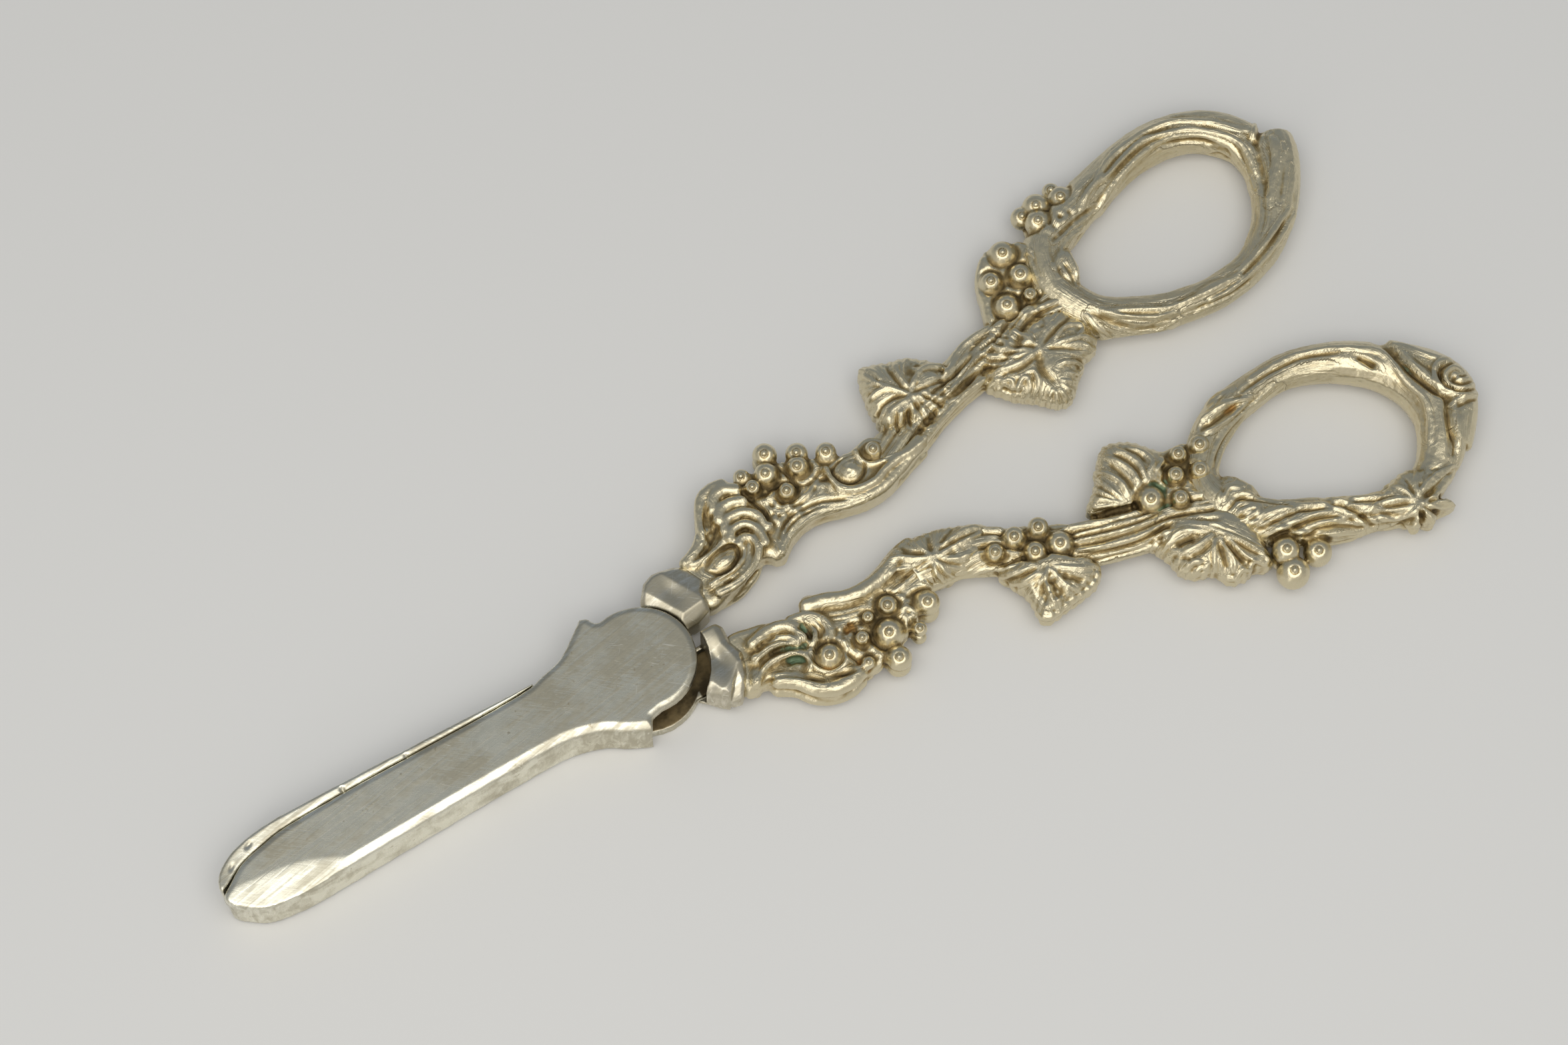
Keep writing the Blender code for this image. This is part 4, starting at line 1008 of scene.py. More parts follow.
upperRingPath = [
    (76.6, 20.5, 3.2), (78.4, 26, 3.3), (83.5, 29.3, 3.2), (90, 31.4, 3), (97, 33.2, 3), (103.5, 33.2, 3),
    (108.6, 31, 3.1), (111.7, 27.4, 3), (112.3, 22.8, 3.1), (110.5, 17.6, 3), (107, 13.2, 2.7),
    (102, 10.3, 2.4), (96, 9.2, 2.4), (90, 9.8, 2.5), (84.5, 11.4, 2.8), (79, 14.8, 3)]
upperBranchPath = [
    (104, 11.6, 2.2), (108.5, 14.4, 2.8), (112, 18.6, 3.2), (114.6, 23, 3.3), (116, 25.8, 2.6)]
upperRing = {
    "vines": [(upperRingPath, ringDepth, True), (upperBranchPath, ringDepth)],
    "grapes": [(79.8, 30.2, 1.9, 0.8), (81, 32.6, 2, 0.5), (78.7, 32.4, 1.7, 0), (84.6, 32, 1.8, 0.6),
               (84.4, 34, 1.3, 0)],
    "leaves": [
        ((79.2, 21.6), [  # behind the ring
            (77.8, 24.4), (80, 25.2), (81.4, 24.4), (81.2, 22.9), (81, 21.2), (80.1, 19.6), (79, 18.6),
            (77.2, 20), (76.8, 22.4)]),
    ],
    "marks": [
        (0.5, 0.5, 0.8, [(78.2, 23.4), (79.8, 24.6), (81.7, 25.8), (83.2, 26.4), (85.3, 26.7), (87.7, 27.5),
                         (90.2, 29.2), (93.2, 30.7), (96.2, 31.9), (99.2, 32.6), (101, 32.9), (103.8, 32.2),
                         (106.8, 30.7), (108.6, 28.8), (109.5, 27.3), (109.5, 25.2), (109.2, 22.8),
                         (108.6, 20.1)]),
        (0.45, 0.5, 0.8, [(86.2, 29.2), (88.6, 31.3), (92, 32), (95.6, 33.2), (99.2, 34.2), (101.7, 33.7),
                          (104.7, 32.8), (107.7, 31), (109.8, 28.8), (110.8, 26.7), (110.6, 24.6),
                          (109.8, 22.2)]),
        (0.4, 0.5, 0.8, [(86.8, 30.1), (90.2, 31.9), (93.8, 34), (97.7, 34.9), (101, 35.2), (104.7, 34.6),
                         (107.7, 32.8), (110.2, 30.7), (112, 28.8), (113.2, 28)]),
        (-0.6, 0.5, 1, [(80.2, 27), (82.6, 27.6), (85, 28.2), (88, 28.5)]),
        (-0.45, 0.4, 1, [(92, 31.2), (95.5, 32.5), (99.2, 33.4), (103, 32.9)]),
        (-0.5, 0.5, 1, [(101.7, 32.3), (104.7, 31.4), (107.1, 29.6), (108.6, 26.8)]),
        (-0.9, 0.8, 1, [(111.8, 27.6), (112.4, 25.8), (111.5, 22.8), (110.2, 20.4), (109.4, 18.6)]),
        (0.5, 0.4, 0.8, [(112.4, 26.6), (113.8, 27.9), (115.6, 28.9), (117, 27.9)]),
        (-0.8, 0.45, 1, [(112.9, 25.9), (114.4, 27.1), (116.2, 27.6), (118, 27.2)]),
        (0.3, 0.8, 1, [(108.9, 16.7), (110.8, 19.2), (113.2, 21.6), (115.3, 25.2)]),
        (-0.25, 0.4, 1, [(110.4, 16.4), (112.6, 19), (115, 22)]),
        (0.45, 0.4, 0.8, [(99.4, 9.9), (101.4, 10.4), (104.7, 11.7), (107.7, 13.1), (111.1, 14.9)]),
        (0.45, 0.4, 0.8, [(94, 8.2), (98, 8.4), (102.3, 9.5), (105.6, 10.7), (108.6, 12.2), (111.4, 13.7)]),
        (-0.45, 0.35, 1, [(100, 9.5), (104.4, 11), (108, 12.6), (110.6, 13.9)]),
        (0.45, 0.35, 0.8, [(80, 14.5), (82, 13.4), (85, 11.9), (88, 10.4), (91, 9.9), (95, 9.6), (99, 9.8)]),
        (0.45, 0.35, 0.8, [(80.2, 14.2), (82, 12.5), (84, 11), (86.2, 9.8), (88.4, 9.3)]),
        (-0.3, 0.35, 1, [(81.4, 13.4), (83.6, 12), (86.6, 10.4)]),
        (0.5, 0.5, 0.8, [(77.9, 14.9), (78.3, 12.2), (79.5, 10), (81.4, 8.5), (84, 7.9), (88, 7.6)]),
        (-0.75, 0.75, 1, [(78.9, 15.2), (80.2, 12.5), (82, 10.4), (84, 9), (87, 8.4)]),
        (-0.3, 0.35, 1, [(90, 8.6), (94, 7.9), (98, 7.8), (102, 8.6)]),
        (-0.6, 0.6, 1, [(79.4, 23.4), (79.6, 21.6), (79.4, 19.8)]),
        (0.3, 0.3, 1, [(80.8, 24.4), (80.6, 22.4), (79.8, 20.2)]),
    ],
    "pits": [(82, 30, 4, 0.3, 0.8), (114.5, 24, 4, 0.12, 1.2)],
    "barks": [(upperRingPath + upperRingPath[:1], 3.6, 0.10, 5, 21)],
}
castPiece("upperRingCasting", "upper_half",
          ["upper_finger_ring", "upper_ring_branch", "upper_back_leaf", "upper_ring_grapes"],
          castSilver, upperRing)

lowerNeck = {
    "plates": [([
        (11, -2.2), (15.5, -2.1), (18, -2.9), (21.2, -3.9), (22.6, -2.1), (24, -1.9), (26.5, -3.2),
        (29.5, -3.9), (33, -3.3), (37, -1.7), (40, -1.6), (40.6, -5.5), (39.3, -8.8), (37.2, -10.8),
        (34.6, -12.4), (32, -13.9), (29.5, -15), (26.8, -15.5), (23.5, -15.4), (20.5, -16.1), (18.3, -15),
        (16, -11.9), (13, -10.3), (10, -9.6)], *neckLevels)],
    "leaves": [
        ((41.6, -6.2), [  # at the neck's end
            (34.8, -4.4), (37.2, -2.4), (40.5, -1.7), (43.5, -2.2), (46.5, -3.2), (49.6, -4.9), (49, -6.6),
            (47.5, -8.2), (45.3, -9.6), (43, -9.4), (41, -9.5), (39.2, -8.8), (38.4, -7), (36, -6.2)]),
    ],
    "grapes": [(30.4, -12.1, 2, 1), (29.8, -15.7, 1.75, 0.65), (32.1, -8.8, 1.4, 1), (37, -10.9, 1.75, 0.8),
               (26.8, -11.2, 1, 1), (34.2, -13.6, 1.05, 0.6), (28.9, -9.1, 0.85, 1), (22, -11, 1.6, 0.95),
               (25.8, -14.5, 0.9, 0.8)],
    "cords": [
        (5.4, 0.9, [(14, -4.6), (16.5, -4), (18.8, -4.4), (19.9, -5.6), (20, -7)]),
        (5.4, 0.9, [(13.4, -6.6), (15.8, -6), (17.8, -6.2), (19, -7.2)]),
        (5.3, 0.8, [(11.8, -9.4), (13, -8.3), (15.3, -7.8), (17.8, -8.2), (19.1, -9.4), (19, -10.8)]),
        (5, 1.1, [(14.5, -10.6), (16.6, -12), (18.1, -14), (20.2, -15.2), (22.6, -15.4), (24.6, -14.8)]),
        (5.2, 0.7, [(20, -4.4), (21.6, -5), (22.4, -6.2), (22, -7.6), (20.8, -8.2)]),
        (5.2, 0.8, [(20, -4.2), (22.2, -4.7), (23.6, -6.1), (23.8, -7.8), (23, -8.8)]),
        (5.2, 0.7, [(20, -9.4), (19.8, -11.2), (20.9, -12.7), (23, -12.7), (24.1, -11.3), (24.1, -9.8)]),
        (5, 1.2, [(23, -3.4), (25.5, -4), (28, -5), (31, -5.2), (34, -4.6), (37, -3.4)]),
    ],
    "marks": [
        (-0.7, 0.5, 1, [(13.6, -5.2), (15.8, -4.8), (17.8, -5.2), (19, -6.4)]),
        (-0.7, 0.5, 1, [(12.4, -8), (14, -6.9), (16.2, -6.6), (18.4, -7), (19.4, -8)]),
        (-0.8, 0.7, 1, [(16.6, -8.6), (18.2, -8.9), (19, -9.8), (18.4, -10.6)]),
        (-0.5, 0.35, 1, [(12.6, -9.7), (14.8, -9.6), (16.8, -10.6), (18.4, -12), (19.6, -13.2)]),
        (-0.6, 0.4, 1, [(20.4, -4.6), (21.2, -5.6), (21.4, -6.8), (20.8, -7.6)]),
        (-0.5, 0.35, 1, [(22.4, -5.4), (22.8, -6.8), (22.2, -8)]),
        (-0.7, 0.45, 1, [(20.2, -9.2), (20.4, -11), (21.6, -12.2), (23.2, -11.8), (23.8, -10.4), (23.2, -9.2),
                         (21.8, -8.9)]),
        (-0.5, 0.4, 1, [(21, -13.2), (23, -13.8), (24.8, -14)]),
        (-0.25, 0.25, 1, [(25.2, -5), (27.4, -5.8), (29.6, -6.4)]),
        (-0.25, 0.25, 1, [(25, -5.8), (27, -6.5), (29.4, -7)]),
        (-0.25, 0.25, 1, [(25.2, -6.6), (27, -7.2), (29, -7.6)]),
        (-0.8, 1.2, 1, [(25.4, -8.6), (26.6, -8.6), (27.6, -8.9)]),
        (-0.5, 0.4, 1, [(24.6, -10), (24.6, -12), (25.6, -13.6), (27.4, -14.2)]),
        (-0.5, 0.4, 1, [(28.6, -10.4), (28.2, -12), (29.2, -13.6), (31.4, -14.2), (33.4, -13.4),
                        (33.8, -11.4)]),
        (0.4, 0.4, 1, [(30.6, -9.6), (32.6, -9.6), (34.4, -9.8), (35.2, -11)]),
        (0.35, 0.4, 1, [(30.8, -7.2), (32.6, -7), (34.2, -7.8), (35.2, -8.9)]),
        (-0.4, 0.35, 1, [(34.6, -8.8), (36.4, -8.3), (38.2, -9)]),
        # leaf at the neck's end
        (0.5, 0.5, 0.9, [(41, -5.2), (39.1, -4.4), (37.4, -3.2), (35.9, -2.6)]),
        (0.35, 0.28, 1, [(41.2, -5), (40.5, -3.7), (40.3, -2.2)]),
        (-0.45, 0.5, 1, [(40.4, -4.4), (39, -3.2), (38, -2.4)]),
        (-0.45, 0.5, 1, [(41.4, -4.6), (41.7, -3.2), (42.2, -2.1)]),
        (0.25, 0.25, 1, [(42, -4.2), (43, -3), (43.8, -2.2)]),
        (-0.4, 0.35, 1, [(42.4, -4.6), (44, -3.6), (45.8, -3)]),
        (0.4, 0.35, 0.9, [(41.6, -5), (42.4, -4.3), (43.8, -4.3), (46.8, -4), (49.4, -4.9)]),
        (0.35, 0.35, 0.9, [(41.3, -5.5), (43.8, -5.3), (47, -5.4), (49.5, -5.6)]),
        (-0.35, 0.3, 1, [(42.4, -4.9), (45.4, -4.8), (48.4, -5.1)]),
        (-0.5, 0.4, 1, [(41.5, -5.8), (42.6, -7.2), (44.1, -8.4), (46.2, -8.9)]),
        (0.35, 0.5, 1, [(42.6, -6.4), (44.4, -7.2), (46.6, -7.4)]),
        (0.35, 0.3, 1, [(40.5, -5.7), (38.2, -6.2), (35.9, -6.7), (33.6, -7)]),
        (-0.35, 0.3, 1, [(40.4, -5.3), (38.2, -5.6), (35.9, -6)]),
        (0.35, 0.35, 1, [(40.9, -6), (40.3, -7.5), (40.6, -9.2)]),
        (0.35, 0.35, 1, [(41.2, -6), (41.5, -8), (42.4, -9.4)]),
        (-0.4, 0.3, 1, [(41, -6.2), (40.9, -7.8), (41.4, -9.3)]),
        (-0.4, 0.4, 1, [(40.2, -6.3), (39.2, -7.6), (39.4, -8.9)]),
        (0.3, 0.35, 1, [(34.6, -4.9), (35.8, -4.4), (37.4, -5)]),
    ],
    "pits": [(26.5, -9, 2.6, 0.5, 0.7), (27, -13, 4, 0.3, 0.8), (34, -10.5, 4, 0.25, 0.9),
             (45, -7, 3.5, 0.12, 0.8)],
}
castPiece("lowerNeckCasting", "lower_half",
          ["lower_neck", "lower_neck_scroll", "lower_neck_grapes", "lower_stem_leaf"], castSilver, lowerNeck)

lowerStemPath = [
    (37.5, -5.8, 3.6), (42, -5.9, 3.8), (46, -7, 3.6), (51, -9.7, 3.4), (56, -12.2, 3.3), (61, -14.1, 3.3),
    (66, -15.4, 3.3), (71, -16.5, 3.3), (78, -18.3, 3.3)]
lowerStem = {
    "vines": [(lowerStemPath, stemDepth)],
    "grapes": [(48.3, -9.5, 1.25, 1), (51.7, -8.8, 1.5, 1), (55.2, -9.2, 1.5, 0.95), (53, -12, 1.45, 1),
               (56.5, -12.6, 1.75, 1), (70.4, -13.2, 1.9, 0.95), (75.1, -12, 1.2, 1), (77, -9.6, 1.2, 1),
               (80.3, -9.8, 1.5, 0.95), (78.3, -13, 1.4, 1), (73.8, -15.2, 1.2, 1)],
    "plates": [([
        (70, -10), (74, -8), (80, -8.4), (81.5, -11), (79.5, -15), (79, -19), (74, -19),
        (70, -16)], *forkLevels)],
    "leaves": [
        ((53.6, -14.6), [  # fan leaf
            (47.6, -11.4), (48.3, -14.2), (49, -16.8), (49.1, -19), (49.6, -20.8), (53, -20.4), (56, -20),
            (58, -19.5), (59.5, -18.2), (59.4, -16.8), (57.5, -15.5), (55.6, -13.2)]),
        ((69.3, -9.9), [  # above the fork
            (62.2, -10.3), (63.5, -8.8), (65.2, -7.4), (66.5, -5.8), (67.8, -4), (69.5, -3), (71.6, -3.5),
            (73.5, -4.8), (74.8, -6.5), (75.8, -8), (75.4, -10.4), (72.5, -12.4), (68.6, -13), (64.6, -12.2)]),
        ((75, -21.4), [  # hanging leaf
            (69.6, -17.2), (67.2, -18.9), (67.9, -21.5), (68.4, -24.3), (70.5, -25.6), (72.2, -26.3),
            (73.2, -28), (75.3, -29.1), (77.2, -28.5), (79.4, -29.4), (80.2, -27.3), (80.6, -24.4),
            (80.4, -21.4), (77.5, -18.4), (74, -16.6), (71.6, -16.6)]),
    ],
    "marks": [
        # stem's ridges and the brown grooves between
        (0.45, 0.5, 0.8, [(57, -10), (61, -11.6), (65, -13.2), (68.5, -13.8)]),
        (0.4, 0.5, 0.8, [(58, -13), (61, -13.9), (65, -15), (68.6, -15.4)]),
        (0.4, 0.5, 0.8, [(58.5, -14.2), (62, -15.6), (66, -16.7), (70, -16.8)]),
        (0.4, 0.5, 0.8, [(59, -16), (63, -17), (66.5, -18), (68.5, -18.4)]),
        (-0.6, 0.4, 1, [(58, -12), (62, -13.2), (66, -14.4), (69.5, -14.8)]),
        (-0.6, 0.4, 1, [(58, -14.7), (62, -16.3), (66, -17.2), (71, -17)]),
        (-0.5, 0.35, 1, [(57.5, -9.9), (61, -10.8), (65, -11.7), (68, -12.2)]),
        (0.4, 0.5, 1, [(47.4, -12.5), (49.4, -12.8), (51.8, -13.1)]),
        (0.4, 0.45, 1, [(47.9, -13.9), (49.6, -14.3), (51.8, -14.1)]),
        (-0.5, 0.35, 1, [(47.6, -13.1), (49.4, -13.5), (51.8, -13.6)]),
        (-0.5, 0.4, 1, [(47.2, -11.6), (49.4, -11.8), (51.2, -11.9)]),
        # fan leaf
        (0.55, 0.5, 0.9, [(48.8, -16.9), (49.1, -19.4), (50, -20.5), (52, -20.3), (54.7, -19.9), (56.8, -19.7),
                          (58.4, -18.9), (59.2, -17.5), (58, -16.6)]),
        (-1, 1, 1, [(51.4, -15.4), (50.8, -17), (50.6, -18.8)]),
        (-0.9, 0.8, 1, [(53, -15.4), (53, -17.4), (53, -19)]),
        (-0.8, 0.7, 1, [(54.4, -15.8), (55.8, -17.4), (56.6, -18.6)]),
        (0.4, 0.3, 0.9, [(53.4, -14.2), (52, -16), (51.6, -18), (51.4, -19.8)]),
        (0.35, 0.3, 0.9, [(53.7, -14.6), (54.2, -16.8), (55, -19.2)]),
        (0.35, 0.3, 0.9, [(54.2, -14.4), (56.2, -15.8), (58.2, -17)]),
        (0.3, 0.25, 1, [(52.8, -14.8), (51, -15.8), (49.6, -16.6)]),
        # leaf above the fork
        (0.5, 0.4, 0.8, [(65.2, -6.6), (66.8, -5.9), (67.9, -7.2), (68.5, -9), (68.2, -10.8)]),
        (-0.5, 0.5, 1, [(68.2, -5), (69, -7), (69.4, -9), (69.2, -10.8)]),
        (0.35, 0.3, 1, [(67, -11.2), (65.2, -9.6), (64, -8.9)]),
        (0.35, 0.3, 1, [(67, -11), (65.6, -8.8), (65, -7.6)]),
        (0.35, 0.3, 1, [(67.2, -10.8), (66.6, -8.4), (66.2, -6.8)]),
        (0.3, 0.3, 1, [(66.8, -11.4), (64.8, -10.6), (63.4, -10.2)]),
        (-0.35, 0.3, 1, [(67, -11.1), (65.4, -9.2), (64.4, -8.2)]),
        (-0.35, 0.3, 1, [(67.1, -10.9), (66, -8.6), (65.5, -7.2)]),
        (0.5, 0.4, 0.8, [(68.9, -4.6), (70, -6.4), (70.6, -8.4), (70.3, -10.2)]),
        (-0.4, 0.3, 1, [(69.6, -4.2), (70.8, -6.2), (71.3, -8.2), (71, -10)]),
        (0.45, 0.4, 0.8, [(70.4, -4.1), (71.5, -5.8), (72, -7.5), (71.6, -9.6)]),
        (-0.4, 0.3, 1, [(71.6, -4.6), (72.7, -6.2), (72.9, -8)]),
        (0.4, 0.4, 0.8, [(72.4, -5), (73.6, -6.6), (73.8, -8.2), (72.6, -9.2)]),
        (0.3, 0.3, 1, [(73.4, -9.6), (74.8, -9), (75.6, -8.6)]),
        # hanging leaf
        (0.55, 0.65, 0.9, [(71, -17.7), (73.5, -18.8), (76, -20.8), (78.3, -24.4), (79.6, -26.6)]),
        (-0.5, 0.4, 1, [(74.6, -19.4), (77.4, -22.6), (79.4, -26)]),
        (0.45, 0.4, 0.9, [(67.4, -18.8), (68.6, -17.9), (70.4, -17.8)]),
        (0.4, 0.35, 0.9, [(68, -20), (70, -18.9), (72, -18.9), (74.4, -20.5)]),
        (-0.9, 0.7, 1, [(69.6, -20.2), (71, -20.1), (72.6, -20.4)]),
        (0.45, 0.4, 0.9, [(70, -21.4), (72.4, -21.5), (74.6, -21.2)]),
        (0.45, 0.4, 0.9, [(74.6, -22), (73.3, -24), (72.5, -25.8)]),
        (0.45, 0.35, 0.9, [(75.3, -22.6), (75.3, -25.6), (74.6, -27.2)]),
        (0.45, 0.35, 0.9, [(76.2, -22.8), (77, -26), (78.2, -27.4)]),
        (-0.8, 0.5, 1, [(74.8, -22.8), (74.2, -25), (73.6, -26.6)]),
        (-0.9, 0.55, 1, [(75.8, -22.8), (76.1, -25.2), (76.4, -27)]),
        (-0.6, 0.4, 1, [(77, -23.4), (78, -25.8), (78.8, -27)]),
        (0.5, 0.4, 0.8, [(73, -27.2), (74.1, -28.1), (75.6, -27.4), (76.5, -28), (77.6, -27.2), (78.8, -28.4),
                         (79.7, -27.5)]),
        (-0.5, 0.5, 1, [(68.9, -21.6), (70.2, -22.4), (72.2, -22.6), (73.8, -22.2)]),
        (0.35, 0.4, 1, [(69, -23.6), (70.4, -23.2), (71.6, -23.8)]),
        (0.35, 0.4, 1, [(69.6, -24.9), (71, -24.6), (72, -25.2)]),
    ],
    "pits": [(74, -12, 4, 0.3, 0.8), (53, -10.5, 4, 0.2, 0.8), (53, -17.6, 3.4, 0.3, 0.5),
             (70.6, -23.6, 2.4, 0.25, 0.6), (77, -16, 3, 0.2, 0.8)],
    "barks": [(lowerStemPath, 3.8, 0.32, 8, 31)],
}
castPiece("lowerStemCasting", "lower_half",
          ["lower_vine_stem", "lower_fan_leaf", "lower_fork_leaf", "lower_hanging_leaf", "lower_stem_grapes",
           "lower_fork_grapes"],
          castSilver, lowerStem)

